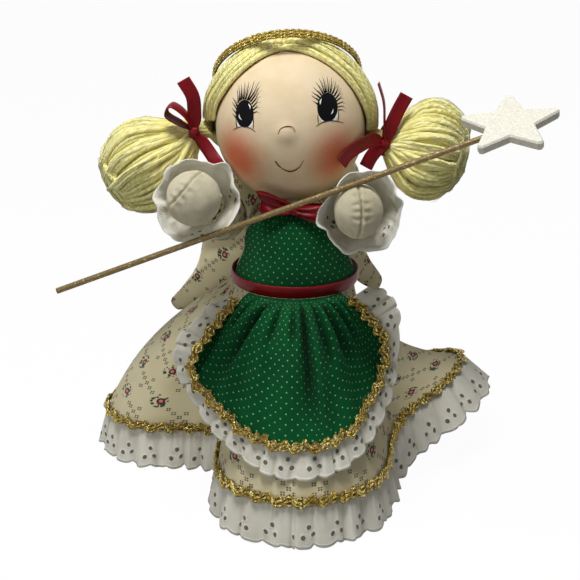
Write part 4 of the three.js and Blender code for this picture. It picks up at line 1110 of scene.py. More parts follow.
def apron_crease(u, v):
    """How far the creases go in, and how much painted shade the place gets in a crease, from 0 to 1."""
    crease, crease_shade = 0.0, 0.0
    deep = min(0.16, v * 1.1) + 0.84 * smooth((v - 0.05) * 4.5)
    for place, drift, depth, width, reach in APRON_CREASES:
        off = (u - place - drift * v) / (width * (1 + 1.2 * v))
        valley = math.exp(-off * off)
        ridges = 0.6 * math.exp(-((off - 2.2) / 1.4) ** 2)
        ridges += 0.42 * math.exp(-((off + 2.4) / 1.8) ** 2)
        fade = 1 - smooth((v - reach * 0.55) / (reach * 0.5))
        crease += depth * (valley * deep - ridges * smooth(v * 9)) * fade
        # The painted shade is darkest in a crease and reaches further to one side of it.
        side = off * (0.85 if off > 0 else 1.5)
        shade = math.exp(-side * side) * min(1.0, depth / 5.6) ** 1.6 * fade * smooth(v * 9 + 0.1)
        crease_shade = max(crease_shade, shade)
    return crease, crease_shade


def apron_surface(u, v):
    edge = APRON_EDGE(APRON_CORNER + (1 - 2 * APRON_CORNER) * u)
    start = apron_start(u)
    along = edge - start
    outward = Vector((start.x + edge.x, start.y + edge.y, 0)).normalized()
    ripple = 1 - math.cos(math.tau * u * APRON_FOLDS)
    edge = edge + outward * (ripple * side_fade(u))
    lift = outward * -along.z
    lift.z = math.hypot(along.x, along.y)
    lift.normalize()
    swell = side_fade(u) * along.length * 0.14 * math.sin(math.pi * v ** 0.8) * (1 - v ** 3)
    fold = ripple * side_fade(u) * 1.5 * smooth(v * 5) * (1 - v * v) * 0.5
    crease = apron_crease(u, v)[0]
    gathers = math.sin(math.tau * u * 34 + waver(u * 20, 1, 1) * 3)
    fine = 0.5 * gathers * smooth(v * 20) * (1 - smooth(v * 5))
    return start.lerp(edge, v) + lift * (swell * smooth(v * 9) + fold - crease + fine)


def make_apron():
    # The fold attribute carries the painted shade of the creases.
    cloth("green_apron", apron_surface, 330, 72, "dress", GREEN, row=0.6, column=0.5,
          fold=lambda u, v: apron_crease(u, v)[1], rests_on=["cotton_skirt"],
          stands_for=["apron_panel"])


def apron_edge_point(share):
    if share < APRON_CORNER:
        return apron_surface(0.0, 0.15 + 0.85 * share / APRON_CORNER)
    if share > 1 - APRON_CORNER:
        return apron_surface(1.0, 0.15 + 0.85 * (1 - share) / APRON_CORNER)
    return apron_surface((share - APRON_CORNER) / (1 - 2 * APRON_CORNER), 1.0)


def apron_edge(share):
    edge = apron_edge_point(share)
    ahead = apron_edge_point(min(share + 0.012, 1)) - apron_edge_point(max(share - 0.012, 0))
    spread = APRON_RIM(share) - edge
    return edge, spread, spread.cross(ahead).normalized()


APRON_EDGE_STEPS = 400
APRON_SHARES, APRON_EDGE_LENGTH = even_shares(apron_edge_point, APRON_EDGE_STEPS)


def apron_share(u):
    """The share of the apron's edge that lies at a share of its length."""
    slot = u * APRON_EDGE_STEPS
    at = min(int(slot), APRON_EDGE_STEPS - 1)
    return mix(APRON_SHARES[at], APRON_SHARES[at + 1], slot - at)


def make_apron_frill():
    pleats = Pleats(25, 0.7, 1.15, (3.4, 15, 8), (1.0, 13, 2), (3.0, 19, 4))

    def place(u, v):
        edge, spread, off = apron_edge(apron_share(0.005 + 0.99 * u))
        wave, lean = pleats.move(u, v)
        start = 0.5 / spread.length
        cut = scallop(u * APRON_EDGE_LENGTH * 1.15, 11.6, 2.0) / spread.length
        reach = start + (1 - start - cut * v) * v
        side = spread.cross(off).normalized()
        ripple = 0.3 * waver(u * 80, v * 3, 6) * v
        return edge + spread * reach + off * (wave * v ** 0.6 + ripple) + side * lean

    cloth("lace_apron_ruffle", place, 780, 12, "dress", APRON_LACE, row=0.75, thick=0.5,
          fold=pleats.fold, slot="eyelet_cotton", rests_on=["green_apron"],
          stands_for=["apron_ruffle"])


def make_apron_braid():
    bm = new_mesh()

    def base(u):
        edge, spread, off = apron_edge(apron_share(0.01 + 0.98 * u))
        across = spread.normalized()
        return edge + across * 1.2 + off * 2.5, across, off

    add_gimp(bm, base, 11.8, APRON_EDGE_LENGTH)
    stand_in(finish_mesh("gold_apron_braid", bm, "dress", [GOLD]), "apron_braid")


make_apron()
make_apron_frill()
make_apron_braid()

# Ribbons


def add_ribbon(bm, route, way, wide, curl, lanes=6, folds=0.0):
    """A ribbon along a route. way runs from edge to edge, and wide(u) is the width."""
    curve = Spline(route)

    def place(u, v):
        here = curve(u)
        ahead = (curve(min(u + 0.01, 1)) - curve(max(u - 0.01, 0))).normalized()
        across = (way - ahead * way.dot(ahead)).normalized()
        off = across.cross(ahead)
        bow = curl * (1 - (2 * v - 1) ** 2)
        bow += folds * math.sin(v * 14 + 3 * waver(u * 3, 0, wide(0.5))) * (1.3 - math.sin(math.pi * u))
        return here + across * ((v - 0.5) * wide(u)) + off * bow

    add_grid(bm, place, 36, lanes, size=(lengths(curve, 60)[-1], 8))


def finish_ribbon(name, bm, body, node, width, rests_on):
    area = surface_area(bm)
    made = finish_mesh(name, bm, body, [SATIN], thick=0.45)
    flat = area / width
    declare(made, (flat, area / flat), area, "red_satin", held="folded", rests_on=[rests_on],
            stands_for=[node])


def make_knot(name, body, centre, radii, seed):
    """A soft knot: a ball with creases that run round it."""
    bm = new_mesh()
    for vert in add_ball(bm, 32, 20):
        way = vert.co.normalized()
        crease = 1 - 0.13 * abs(math.sin(way.z * 5 + waver(way.x * 2, way.y * 2, seed)))
        vert.co = centre + Vector([way[axis] * radii[axis] for axis in range(3)]) * crease
    map_flat(bm, bm.faces)
    stand_in(finish_mesh(name, bm, body, [SATIN]))


# Shares of a bow's length and of its depth, round one loop.
BOW_SHARES = [(0.02, 0.3), (0.35, 0.85), (0.8, 1), (1.02, 0.1), (0.8, -0.75), (0.35, -0.6), (0.02, -0.3)]


def make_neck_bow():
    seat = torso_point(0, 0.75, 3.3 + 0.3 + 3.6)
    bm = new_mesh()
    for side, degrees, length in ((-1, 14, 21), (1, -8, 17.2)):
        droop = math.radians(degrees)
        route = []
        for reach, deep in BOW_SHARES:
            out = length * reach
            route.append((side * out * math.cos(droop), seat.y - 3 * deep,
                          seat.z + out * math.sin(droop)))
        way = Vector((-side * math.sin(droop), 0, -math.cos(droop)))
        add_ribbon(bm, route, way, lambda u: 12 * (0.35 + 0.65 * math.sin(math.pi * u)), 1.6, 18, 1.0)
    finish_ribbon("neck_satin_bow", bm, "dress", "neck_bow", 10, "green_bib")
    make_knot("neck_satin_knot", "dress", seat, (4.5, 3.6, 3.6), 3)


make_neck_bow()

# Head


def make_head():
    bm = new_mesh()
    yaw, lift = math.radians(-3), math.radians(6)
    nose = Vector((math.cos(lift) * math.sin(yaw), -math.cos(lift) * math.cos(yaw), math.sin(lift)))
    for vert in add_ball(bm, 128, 80):
        way = vert.co.normalized()
        off = (way - nose).length * HEAD_RADIUS
        reach = HEAD_RADIUS + 1.7 * math.exp(-(off / 5.2) ** 2.4)
        vert.co = HEAD @ (way * reach + Vector((0, 0, HEAD_RISE)))
    stand_in(finish_mesh("cloth_head", bm, "head", [SKIN]), "head_ball")


def add_stroke(bm, points, wide, slot, lift=0.1, steps=10):
    """A brush stroke on the face through points of the picture. wide(share) is its width there."""
    curve = Spline([(x, y, 0) for x, y in points])

    def place(u, v):
        here = curve(v)
        ahead = (curve(min(v + 0.02, 1)) - curve(max(v - 0.02, 0))).normalized()
        side = Vector((ahead.y, -ahead.x, 0)) * (wide(v) * (0.5 - u))
        spot = here + side
        return on_face(spot.x, spot.y, lift + 0.04 * math.sin(math.pi * u))

    add_grid(bm, place, 2, steps, slot=slot)


def add_oval(bm, centre, radii, tilt, slot, lift):
    """A painted oval on the face, with its centre and radii in the picture."""
    turn = math.radians(tilt)

    def place(u, v):
        angle = -u * math.tau
        x, y = radii[0] * math.cos(angle) * v, radii[1] * math.sin(angle) * v
        here = (centre[0] + x * math.cos(turn) - y * math.sin(turn),
                centre[1] + x * math.sin(turn) + y * math.cos(turn))
        return on_face(*here, lift + 0.12 * (1 - v * v))

    add_grid(bm, place, 40, 8, slot=slot)


# Lashes of each eye: x and y of where each starts on the eye's edge, and of its tip.
LASHES = [
    [(237, 110, 232, 102), (237, 106, 232.5, 97), (238, 103, 237, 89), (239.5, 101, 238.5, 85),
     (241, 100, 241.5, 84), (243, 99.5, 245, 82), (245, 99.5, 249, 81), (247, 100, 254.5, 80.5),
     (248.5, 100.5, 259.5, 81.5), (250, 102, 259.5, 87), (251.5, 104, 259, 93), (252.5, 107, 258.5, 99),
     (253, 110, 258, 105), (253.5, 113, 257.5, 111), (236.5, 114, 232, 108), (236, 118, 232.5, 113.5)],
    [(319, 101, 311.5, 95.5), (320, 98, 311.5, 91.5), (321.5, 95.5, 313, 87), (323, 94, 315.5, 81.5),
     (324.5, 93, 319, 78), (326, 92.5, 322.5, 76.5), (328, 92.5, 327, 76), (330, 93, 331.5, 77),
     (332, 94, 336, 81), (334, 96, 339, 85), (335.5, 98.5, 341, 90.5), (336.5, 101, 342, 95.5),
     (337.5, 104, 343.5, 101), (338, 107, 343.5, 105.5), (338, 110, 343, 109.5),
     (318.5, 105, 312.5, 100.5)],
]
# Ovals of the eyes, the whites below them first: centre, radii, tilt, material and lift.
OVALS = [
    ((244.6, 121.5), (8.6, 7.0), 0, 1, 0.06), ((328.6, 115.5), (9.6, 7.2), -6, 1, 0.06),
    ((244.75, 113.75), (8.9, 14.0), 0, 0, 0.16), ((327.5, 107.3), (10.3, 14.5), 0, 0, 0.16),
]
LIDS = [
    [(233, 130), (238, 127.4), (244, 126.6), (250, 128.2), (255.5, 131.8)],
    [(316, 126.5), (322, 122.6), (328.5, 121), (336, 121), (343.8, 122.8)],
    [(236.2, 118), (236.2, 124), (236.8, 128)], [(253.2, 117), (253.4, 123), (253.2, 129)],
    [(317.8, 115), (318, 120), (318.6, 124)], [(338.4, 111), (338.6, 116), (338, 121)],
]
SMILE = [(280, 167), (285, 170.2), (290.5, 171.5), (295.5, 170), (299.5, 167), (303.5, 160.5)]
SMILE_CORNER = [(275.2, 161.2), (277.5, 164.4), (280.5, 167.4)]
NOSE_LINE = [(278, 134), (280.4, 129.2), (286.6, 126.4), (292.6, 127.4), (295.6, 131.8)]
# Lights in the eyes, with the width of each.
EYE_LIGHTS = [
    ([(248.2, 103.5), (249.8, 106), (250.2, 109)], 1.3), ([(239, 114), (239.6, 117.5), (241.8, 120)], 1.1),
    ([(321.6, 98.5), (320.4, 101.5), (320.2, 104.5)], 1.4), ([(333.4, 109), (332.6, 112), (331, 114.5)], 1.1),
]


def make_face():
    bm = new_mesh()
    for oval in OVALS:
        add_oval(bm, *oval)
    for x, y, tip_x, tip_y in (lash for lashes in LASHES for lash in lashes):
        middle_x, middle_y = (x + tip_x) / 2 + (y - tip_y) * 0.03, (y + tip_y) / 2
        add_stroke(bm, [(x, y), (middle_x, middle_y), (tip_x, tip_y)],
                   lambda v: 1.15 * (1 - v) ** 0.7 + 0.12, 0)
        add_stroke(bm, [(x + 0.8, y), (middle_x + 1.4, middle_y), (tip_x + 2.4, tip_y + 3)],
                   lambda v: 0.6 * (1 - v) + 0.1, 0)
    for line in LIDS:
        add_stroke(bm, line, lambda v: 0.95 * (0.45 + 0.55 * math.sin(math.pi * v)), 2, 0.2)
    add_stroke(bm, SMILE, lambda v: 1.5 * (0.4 + 0.6 * math.sin(math.pi * min(v * 1.1, 1))), 3, 0.14, 20)
    add_stroke(bm, SMILE_CORNER, lambda v: 1.4, 3, 0.14)
    for line, size in EYE_LIGHTS:
        add_stroke(bm, line, lambda v: size * math.sin(math.pi * min(max(v, 0.06), 0.94)), 1, 0.34)
    add_stroke(bm, NOSE_LINE, lambda v: 1.1 * (0.35 + 0.65 * math.sin(math.pi * v)), 3, 1.35, 20)
    stand_in(finish_mesh("painted_face", bm, "head", [BLACK, WHITE, BROWN, LIP]))


make_head()
make_face()

# Hair

TIE_REACH = 50.5


def make_tie(side, drop):
    """The way out of the head at a tie, and the middle of the tie."""
    angle = math.radians(drop)
    out = Vector((side * math.cos(angle), 0, -math.sin(angle)))
    return out, HEAD @ (out * TIE_REACH + Vector((0, 0, HEAD_RISE)))


TIES = {-1: make_tie(-1, -1.6), 1: make_tie(1, 13)}
STRAND_SPREAD = 81


def strand_direction(strand, degrees, spread):
    """Way from the head's centre. Strand is 0 at the left tie and 1 at the right one, and degrees run
    from the front over the top to the nape."""
    side = (strand * 2 - 1) * spread
    tilt, turn = math.radians(side), math.radians(degrees)
    way = Vector((math.sin(tilt), -math.cos(tilt) * math.cos(turn), math.cos(tilt) * math.sin(turn)))
    drop = 1.6 if side < 0 else 13
    bend = math.radians(drop * smooth(abs(side) / STRAND_SPREAD))
    return Matrix.Rotation(bend, 3, "Y") @ way


def wig_point(strand, v, reach, spread=STRAND_SPREAD):
    share = abs(strand * 2 - 1)
    way = strand_direction(strand, mix(mix(84, 47, share), mix(232, 224, share), v), spread)
    return HEAD @ (way * (HEAD_RADIUS + 0.3 + reach) + Vector((0, 0, HEAD_RISE)))


# Layers of the wig: strands to a side, height over the head and radius.
WIG_LAYERS = [(50, 5.9, 1.7), (42, 6.9, 1.55), (60, 8.1, 0.5)]


def make_wig():
    def cap_place(u, v):
        return wig_point(1 - u, v, mix(2.2, 6.6, smooth(v * 15) * smooth((1 - v) * 9)))

    cap = new_mesh()
    add_grid(cap, cap_place, 60, 40, size=(160, 130))
    stand_in(finish_mesh("yarn_cap", cap, "head", [YARN], thick=2.0))
    bm = new_mesh()
    for count, reach, thick in WIG_LAYERS:
        for side, index in ((side, index) for side in (-1, 1) for index in range(count)):
            v = (index + 0.5 + 0.3 * random.uniform(-1, 1)) / count
            seed = random.uniform(0, 90)
            edge = smooth(v * 20) * smooth((1 - v) * 9)
            path = []
            for step in range(27):
                share = step / 26
                high = mix(0.8, reach, edge ** 0.5)
                high = high - 1.6 * (1 - smooth(share * 14)) - 1.2 * smooth(share * 5 - 4)
                high += 0.55 * waver(seed, share * 6, 1)
                shift = 0.02 * waver(seed, share * 4, 9) * (1 - share)
                strand = 0.5 + side * (0.5 * share - 0.004)
                path.append(wig_point(strand, min(max(v + shift, 0), 1), high, 82.5))
            size = thick * random.uniform(0.85, 1.15)
            add_tube(bm, path, lambda s, t: size * (1 - 0.35 * s) * tapered(s, 25))
    stand_in(finish_mesh("yarn_strands", bm, "head", [YARN]), "yarn_wig")


# Length, width, distance from the tie and droop of each bunch, with its body, node and piece.
BUNCHES = {-1: (27, 26, 38.5, 33, "left_pigtail", "pigtail_left", "yarn_bunch_left"),
           1: (23, 28, 30.5, 12, "right_pigtail", "pigtail_right", "yarn_bunch_right")}
BUNCH_DEPTH = 23
BUNCH_LOOPS, BUNCH_LOCKS, BUNCH_ROOTS = 104, 9, 16


def make_bunch(side):
    """A bunch of yarn loops. Each runs out from the tie, turns down at the end and comes back."""
    length, width, offset, degrees, body, node, name = BUNCHES[side]
    out, tie = TIES[side]
    droop = math.radians(degrees)
    way = Vector((side * math.cos(droop), 0, -math.sin(droop)))
    up = Vector((side * math.sin(droop), 0, math.cos(droop)))
    front = Vector((0, -1, 0))
    centre = tie + way * offset
    bm = new_mesh()

    def spot(polar, azimuth, scale):
        return (centre - way * (length * math.cos(polar) * scale)
                + up * (width * math.sin(polar) * math.sin(azimuth) * scale)
                + front * (BUNCH_DEPTH * math.sin(polar) * math.cos(azimuth) * scale))

    for vert in add_ball(bm, 32, 20):
        turn = vert.co.normalized()
        core = way * (length * turn.x) + up * (width * turn.z) + front * (BUNCH_DEPTH * turn.y)
        vert.co = centre + core * 0.86
    locks = [random.uniform(0.93, 1.06) for _ in range(BUNCH_LOCKS)]
    for index in range(BUNCH_LOOPS):
        start = math.radians(random.uniform(-75, 250))
        if math.cos(start) > -0.2:
            finish = math.radians(random.uniform(-120, -60))
        else:
            finish = start - math.radians(60)
        if index % 3 == 0:
            finish = start + math.radians(random.uniform(-50, 10))
        scale = random.uniform(0.9, 1.0) * locks[int(index * BUNCH_LOCKS / BUNCH_LOOPS)]
        far = random.uniform(0.74, 0.9)
        seed = random.uniform(0, 90)
        root = tie + way * random.uniform(3, 6) + up * random.uniform(-4, 4) + front * random.uniform(-4, 4)
        path = []
        for step in range(33):
            share = step / 32
            polar = math.pi * (0.03 + (far - 0.03) * math.sin(math.pi * share) ** 0.85)
            azimuth = mix(start, finish, smooth((share - 0.36) / 0.28))
            azimuth += 0.12 * waver(seed, share * 7, 2)
            point = spot(polar, azimuth, scale * (1 + 0.035 * waver(seed, share * 9, 5)))
            path.append(point.lerp(root, smooth(1 - min(share, 1 - share) * 7)))
        size = random.uniform(1.15, 1.75)
        add_tube(bm, path, lambda s, t: size * tapered(s, 30))
        for fibre in range(8):
            first = random.randint(3, 20)
            loose = []
            for step in range(first, first + 11):
                outward = (path[step] - centre).normalized()
                off = outward * (size * 0.95 + 1.0 * waver(step * 0.4, seed, fibre))
                loose.append(path[step] + off + up * (size * waver(seed + step * 0.3, 3, fibre)))
            add_tube(bm, loose, 0.11, 3)
    # the bound root in the ribbon ring
    for index in range(BUNCH_ROOTS):
        turn = math.tau * index / BUNCH_ROOTS
        off = up * (5.0 * math.sin(turn)) + front * (5.0 * math.cos(turn))
        curve = Spline([tie - out * 4 + off * 0.8, tie + off * 0.95, tie + out * 6 + off * 0.9,
                        tie + out * 11 + way * 3 + off * 1.15, tie + way * (offset * 0.55) + off * 1.9])
        add_tube(bm, [curve(step / 14) for step in range(15)], 1.5)
    stand_in(finish_mesh(name, bm, body, [YARN]), node)


make_wig()
make_bunch(-1)
make_bunch(1)

# Halo

HALO = HEAD @ Matrix.Translation((0, 0, HEAD_RISE)) @ Matrix.Rotation(math.radians(-41), 4, "X")
HALO_RADIUS, HALO_WIDTH = 43, 4.6
HALO_SEAT = math.sqrt((HEAD_RADIUS + 8.7 + 0.9) ** 2 - (HALO_RADIUS - 0.65) ** 2)


# Cords of the halo: share of its width, radius, depth of the twist and distance out.
HALO_CORDS = [(0.93, 0.8, 0.3, 0.0), (0.5, 0.62, 0.35, 0.4), (0.1, 0.4, 0.25, 0.4)]


def halo_point(turn, reach, height):
    return HALO @ Vector((reach * math.sin(turn), -reach * math.cos(turn), HALO_SEAT + height))


def make_halo():
    bm = new_mesh()

    def strip(u, v):
        turn = u * math.tau
        ridge = 0.55 * abs(math.sin(turn * 84)) * smooth(v * 8) * smooth((0.72 - v) * 8)
        lip = 0.5 * smooth((v - 0.78) * 12)
        return halo_point(turn, HALO_RADIUS + 0.1 + ridge + lip, 0.2 + (HALO_WIDTH - 0.4) * (1 - v))

    def back(u, v):
        return halo_point(-u * math.tau, HALO_RADIUS - 0.7, 0.2 + (HALO_WIDTH - 0.4) * (1 - v))

    size = (math.tau * HALO_RADIUS, 7)
    add_grid(bm, strip, 672, 14, size=size)
    add_grid(bm, back, 96, 2, size=size)
    steps = 480
    turned = HALO.to_3x3()
    for height, thick, depth, apart in HALO_CORDS:
        path, frames = [], []
        for step in range(steps + 1):
            turn = math.tau * step / steps
            out = Vector((math.sin(turn), -math.cos(turn), 0))
            path.append(halo_point(turn, HALO_RADIUS + apart, height * HALO_WIDTH))
            frames.append((turned @ out, turned @ Vector((0, 0, 1))))
        add_tube(bm, path, lambda s, t: thick * (1 + depth * math.cos(2 * t - s * math.tau * 70)),
                 10, frames)
    stand_in(finish_mesh("gold_halo", bm, "head", [BRIGHT_GOLD]), "halo_band")


make_halo()

# Hair ribbons

STRIP_SCALE, STRIP_WIDTH = 32, 8
# Strips of each ribbon: points from its knot, the way from edge to edge, and whether it is a loop.
STRIPS = {
    -1: [
        ([(.02, -.06, .35), (0, -.1, .65), (-.16, -.08, .94)], (-1, 0, -.2), False),
        ([(-.14, -.08, .34), (-.38, -.12, .51), (-.48, -.06, .34), (-.24, -.02, .16), (0, .02, .02)],
         (.2, 1, .25), True),
        ([(.17, 0, -.22), (.36, -.13, -.47), (.52, -.36, -.63), (.64, -.46, -.72)], (-.75, .2, -.6), False),
    ],
    1: [
        ([(.1, -.05, .34), (.22, -.04, .62), (.36, -.02, .88)], (-.8, 0, .5), False),
        ([(-.02, -.04, .4), (-.04, -.02, .76), (-.14, 0, 1.1)], (.15, 1, 0), False),
        ([(-.2, -.12, .1), (-.44, -.36, .06), (-.7, -.64, -.06), (-.8, -.74, -.18)], (.1, 0, -1), False),
        ([(-.12, -.02, -.08), (-.24, -.04, -.22), (-.34, -.06, -.41)], (-1, .3, .3), False),
    ],
}


def make_hair_ribbon(side, name, node):
    out, tie = TIES[side]
    turn = Vector((0, 0, 1)).rotation_difference(out)
    middle = out * (6.6 * 0.33 + 2.3)
    front = middle + Vector((0, -7.0 - 2.025, 0))
    bm = new_mesh()

    def ring(u, v):
        spin = u * math.tau
        reach = 8.3 + 0.5 * math.sin(math.pi * v) + 0.25 * math.sin(spin * 9)
        spot = Vector((reach * math.cos(spin), reach * math.sin(spin), 2.6 * (1 - 2 * v)))
        return tie + middle + turn @ spot

    add_grid(bm, ring, 64, 6, size=(52, 6))
    for shares, way, loop in STRIPS[side]:
        route = [tie + front + Vector(share) * STRIP_SCALE for share in [(0, 0, 0), *shares]]

        def wide(u):
            return STRIP_WIDTH * (0.5 + 0.5 * smooth(u * 4) * (smooth((1 - u) * 4) if loop else 1))

        add_ribbon(bm, route, Vector(way).normalized(), wide, 0.7)
    finish_ribbon(name, bm, "head", node, STRIP_WIDTH, "yarn_cap")
    make_knot(name + "_knot", "head", tie + front, (3.5, 3.0, 3.6), side + 4)


make_hair_ribbon(-1, "satin_left", "hair_ribbon_left")
make_hair_ribbon(1, "satin_right", "hair_ribbon_right")

# Arms

SIDE_NAMES = {-1: "left", 1: "right"}


def arm_frame(side):
    turn = Vector((0, 0, 1)).rotation_difference(arm_way(side))
    shoulder = (side * SHOULDER_SIDE, SHOULDER_BACK, SHOULDER_HEIGHT)
    return Matrix.Translation(shoulder) @ turn.to_matrix().to_4x4()


def lathe_place(profile, matrix, ripple=None):
    """Place on a turned form: profile is points of radius and height, and v runs down its list."""
    curve = Spline([(radius, height, 0) for radius, height in profile])

    def place(u, v):
        here = curve(v)
        turn = -u * math.tau
        radius = max(here.x, 0.0)
        if ripple:
            radius += ripple(u, v, here)
        return matrix @ Vector((radius * math.cos(turn), radius * math.sin(turn), here.y))
    return place


# The seam over each mitten, as points of the picture.
SEAMS = {-1: [(203, 170.5), (197, 175), (186, 187), (175, 200), (166.5, 213), (164, 222)],
         1: [(353, 181), (358, 190), (361.5, 204), (362, 218), (360, 231), (357, 240)]}


def make_arm(side):
    reach, hand = ARMS[side][2:4]
    matrix = arm_frame(side)
    middle = matrix @ Vector((0, 0, reach))
    profile = [(0, reach + hand)]
    for degrees in (75, 55, 35, 15, -5, -25, -42):
        turn = math.radians(degrees)
        profile.append((hand * math.cos(turn), reach + hand * math.sin(turn)))
    profile += [(8.6, reach - hand * 1.15), (8.4, 66), (8.4, 57), (9, 25), (11.4, 3), (10.5, -5),
                (6, -10.4), (0, -12)]
    bm = new_mesh()
    made = add_grid(bm, lathe_place(profile, matrix), 160, 190, size=(80, 130))

    def on_hand(point, radius):
        return middle + (point - middle).normalized() * radius

    curve = Spline([on_hand(seen_on_ball(middle, hand, *spot), hand) for spot in SEAMS[side]])
    seam = [curve(step / 60) for step in range(61)]
    for vert in made:
        if (vert.co - middle).length > hand * 1.05:
            continue
        off, at = min(((vert.co - point).length, index) for index, point in enumerate(seam))
        way = (vert.co - middle).normalized()
        groove = 1.5 * math.exp(-(off / 0.6) ** 2) - 0.3 * math.exp(-((off - 1.7) / 1.1) ** 2)
        pucker = 0.34 * math.sin(at * 1.05) * math.exp(-((off - 2.4) / 2.2) ** 2)
        dent = 0.3 * waver(vert.co.x * 0.16, vert.co.y * 0.16, vert.co.z * 0.16 + side)
        vert.co -= way * (groove + pucker + dent)
    thread = [on_hand(point, hand - 0.55) for point in seam]
    for step in range(2, 58, 4):
        along = (thread[step + 1] - thread[step - 1]).normalized()
        out = (thread[step] - middle).normalized()
        across = along.cross(out) + along * 0.35
        stitch = [thread[step] + across * (share * 0.9) + out * (0.3 - 0.3 * share * share)
                  for share in (-1, -0.5, 0, 0.5, 1)]
        add_tube(bm, stitch, 0.14, 5)
    if side > 0:
        for vert in bm.verts:
            near = smooth((hand * 1.25 - (vert.co - middle).length) / (hand * 0.3))
            vert.co.z += (vert.co.z - middle.z) * 0.15 * near
    name = SIDE_NAMES[side]
    stand_in(finish_mesh("muslin_arm_" + name, bm, "arms", [MUSLIN]), "arm_" + name)


def make_sleeve(side):
    root, puff, length = 15, 15.4, 72
    profile = [(9.8, length * 0.92), (12.6, length * 0.82), (puff * 0.93, length * 0.7),
               (puff, length * 0.42), (15.2, length * 0.2), (root, 0), (root * 0.94, -5.1),
               (root * 0.72, -10.4), (root * 0.42, -13.6)]

    def ripple(u, v, here):
        gathers = 0.6 * math.sin(u * math.tau * 15 + 2 * waver(u * 9, 1, side)) * (1 - smooth(v * 3.4))
        soft = 0.4 * waver(u * 3.2, v * 5, side * 7) * smooth(v * 3) * smooth((1 - v) * 4)
        return gathers - 0.4 + soft

    name = SIDE_NAMES[side]
    cloth("cotton_sleeve_" + name, lathe_place(profile, arm_frame(side), ripple), 96, 48, "arms", COTTON,
          row=0.4, rests_on=["muslin_arm_" + name], stands_for=["sleeve_" + name])


def make_cuff(side):
    """A gathered cuff, drawn out to the wand where it is tacked to it."""
    matrix = arm_frame(side)
    tack = matrix.inverted() @ (WAND_START + WAND_WAY * ARMS[side][4])
    tack_turn = math.atan2(tack.y, tack.x)
    tack_radius = math.hypot(tack.x, tack.y)
    start = 8.4 + 0.8 + 2
    start_at, long, rim = 67, 21, 21.5

    def place(u, v):
        turn = tack_turn - math.tau * u
        pull = max(0.0, math.cos(math.tau * u)) ** 5
        swing = math.tau * u * 6 + 2.6 * waver(u * 5, 0, side)
        wave = math.sin(swing + 0.5 * math.sin(swing)) * 1.3 * v * (1 - pull)
        open_radius = start + (rim - start) * v ** 0.75 + wave
        crumple = 2.4 * waver(u * 9, v * 2.2, side * 5) + 1.3 * waver(u * 24, v * 4, side * 3)
        gathers = math.sin(math.tau * u * 19 + 4 * waver(u * 12, v, side))
        crumple += 0.7 * smooth(v * 12 - 11) + 0.8 * gathers * (1 - v)
        open_radius += crumple * v * (1 - pull)
        radius = open_radius + (tack_radius - rim) * pull * v ** 1.5
        along = start_at + long * v + (tack.z - start_at - long) * pull * v
        along += 0.9 * math.cos(swing) * v * (1 - pull) - scallop(u * 150, 18.75, 1.0) * smooth(v * 2 - 1)
        along += 1.8 * waver(u * 8, v * 2, side * 9) * v * v * (1 - pull)
        return matrix @ Vector((radius * math.cos(turn), radius * math.sin(turn), along))

    name = SIDE_NAMES[side]
    cloth("lace_cuff_" + name, lambda u, v: place(1 - u, v), 192, 24, "arms", CUFF_LACE, thick=0.5,
          slot="eyelet_cotton", rests_on=["cotton_sleeve_" + name], stands_for=["cuff_" + name])


for arm_side in (-1, 1):
    make_arm(arm_side)
    make_sleeve(arm_side)
    make_cuff(arm_side)

# Wings

WING_OUTLINE = [
    (0, .2), (.12, .245), (.3, .3), (.5, .29), (.66, .18), (.72, .02), (.73, -.18), (.8, -.43), (.98, -.65),
    (1.08, -.76), (1.02, -.81), (.82, -.71), (.54, -.52), (.26, -.36), (0, -.3),
]
WING_SPAN, WING_HEIGHT = 82, 108


def make_wing(side, sweep):
    """A padded lobe: two faces of cotton, sewn at the rim and along two channels."""
    outline = Spline([(x * WING_SPAN, y * WING_HEIGHT, 0) for x, y in WING_OUTLINE])
    rim_points = [outline(step / 96) for step in range(97)]
    middle = Vector((WING_SPAN * 0.36, -WING_HEIGHT * 0.08, 0))
    matrix = (Matrix.Translation((side * 6, 39.35, 150)) @ Matrix.Rotation(math.radians(11), 4, "X")
              @ Matrix.Rotation(side * math.radians(sweep), 4, "Z"))
    bm = new_mesh()

    for facing in (-1, 1):
        def place(u, v):
            if facing * side > 0:
                u = 1 - u
            here = rim_points[round(u * 96)].lerp(middle, 1 - v)
            puff = 3.4 * math.sqrt(max(0.0, 1 - v ** 4))
            for line, tilt in ((-0.10, -0.3), (0.12, 0.3)):
                off = here.y / WING_HEIGHT - line - tilt * here.x / WING_SPAN
                puff *= 1 - 0.45 * math.exp(-(off * 26) ** 2)
            return matrix @ Vector((side * here.x, facing * puff, here.y))

        add_grid(bm, place, 96, 24, size=(260, 50))
    bmesh.ops.remove_doubles(bm, verts=bm.verts, dist=0.002)
    bmesh.ops.holes_fill(bm, edges=[e for e in bm.edges if e.is_boundary], sides=0)
    bmesh.ops.recalc_face_normals(bm, faces=bm.faces)
    map_flat(bm, bm.faces, matrix.inverted())
    name = SIDE_NAMES[side]
    wing = finish_mesh("padded_wing_" + name, bm, name + "_wing", [COTTON])
    stand_in(wing, "wing_" + name)


make_wing(-1, 26)
make_wing(1, 50)

# Floor, backdrop and light


PURE_WHITE = (1, 1, 1, 1)


def seen_share(tree):
    """1 where the camera looks, straight or by a mirror or through something clear."""
    rays = add_node(tree, "LightPath").outputs
    total = rays["Is Camera Ray"]
    for name in ("Is Glossy Ray", "Is Transmission Ray"):
        total = add_node(tree, "Math", {0: total, 1: rays[name]}, operation="MAXIMUM").outputs[0]
    return total


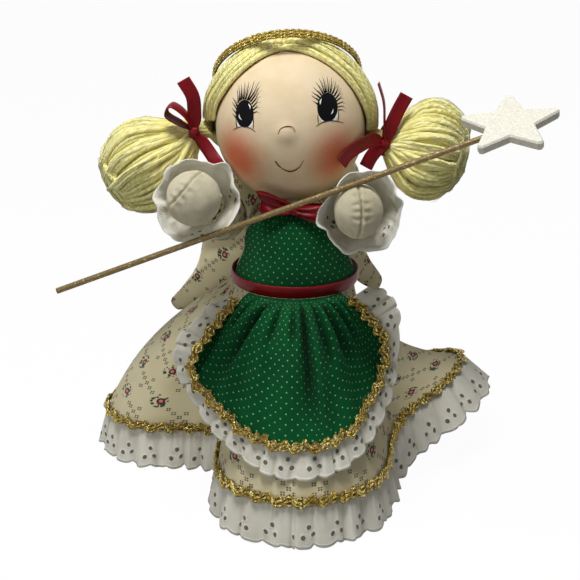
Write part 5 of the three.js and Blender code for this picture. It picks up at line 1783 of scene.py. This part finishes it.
def show_apart(tree, output, lit, seen):
    """Gives the output one shader for what the camera sees, and another for the light."""
    made = {0: seen_share(tree), 1: lit.outputs[0], 2: seen.outputs[0]}
    tree.links.new(add_node(tree, "MixShader", made).outputs[0], output.inputs["Surface"])


def make_stage():
    """A floor that looks white and keeps a faint shadow."""
    bm = bmesh.new()
    bmesh.ops.create_grid(bm, x_segments=1, y_segments=1, size=3)
    mesh = bpy.data.meshes.new("floor")
    bm.to_mesh(mesh)
    bm.free()
    floor = bpy.data.objects.new("floor", mesh)
    bpy.context.scene.collection.objects.link(floor)
    finish = Finish("pale_floor")
    finish.shader.inputs["Base Color"].default_value = tone(160, 160, 158)
    white = finish.node("Emission", {"Color": PURE_WHITE})
    shadowed = finish.node("BsdfDiffuse", {"Color": PURE_WHITE})
    seen = finish.node("MixShader", {0: 0.97, 1: shadowed.outputs[0], 2: white.outputs[0]})
    out = next(n for n in finish.tree.nodes if n.type == "OUTPUT_MATERIAL")
    show_apart(finish.tree, out, finish.shader, seen)
    mesh.materials.append(finish.material)


def make_world():
    world = bpy.data.worlds.new("studio")
    bpy.context.scene.world = world
    world.use_nodes = True
    tree = world.node_tree
    tree.nodes.clear()
    soft = add_node(tree, "Background", {"Color": (1.0, 0.99, 0.97, 1), "Strength": 0.12})
    white = add_node(tree, "Background", {"Color": PURE_WHITE})
    show_apart(tree, add_node(tree, "OutputWorld"), soft, white)


def make_light(name, place, aim, size, power):
    data = bpy.data.lights.new(name, "AREA")
    data.shape = "DISK"
    data.size = size
    data.energy = power
    lamp = bpy.data.objects.new(name, data)
    lamp.location = place
    lamp.rotation_euler = (Vector(aim) - Vector(place)).to_track_quat("-Z", "Y").to_euler()
    bpy.context.scene.collection.objects.link(lamp)


make_stage()
make_world()
make_light("top_light", (-0.12, -0.34, 1.33), (0, -0.02, 0.12), 0.5, 14.5)
make_light("side_light", (-0.9, -0.8, 0.6), (0, 0, 0.13), 0.6, 2.6)

bpy.context.scene.view_settings.view_transform = "Standard"
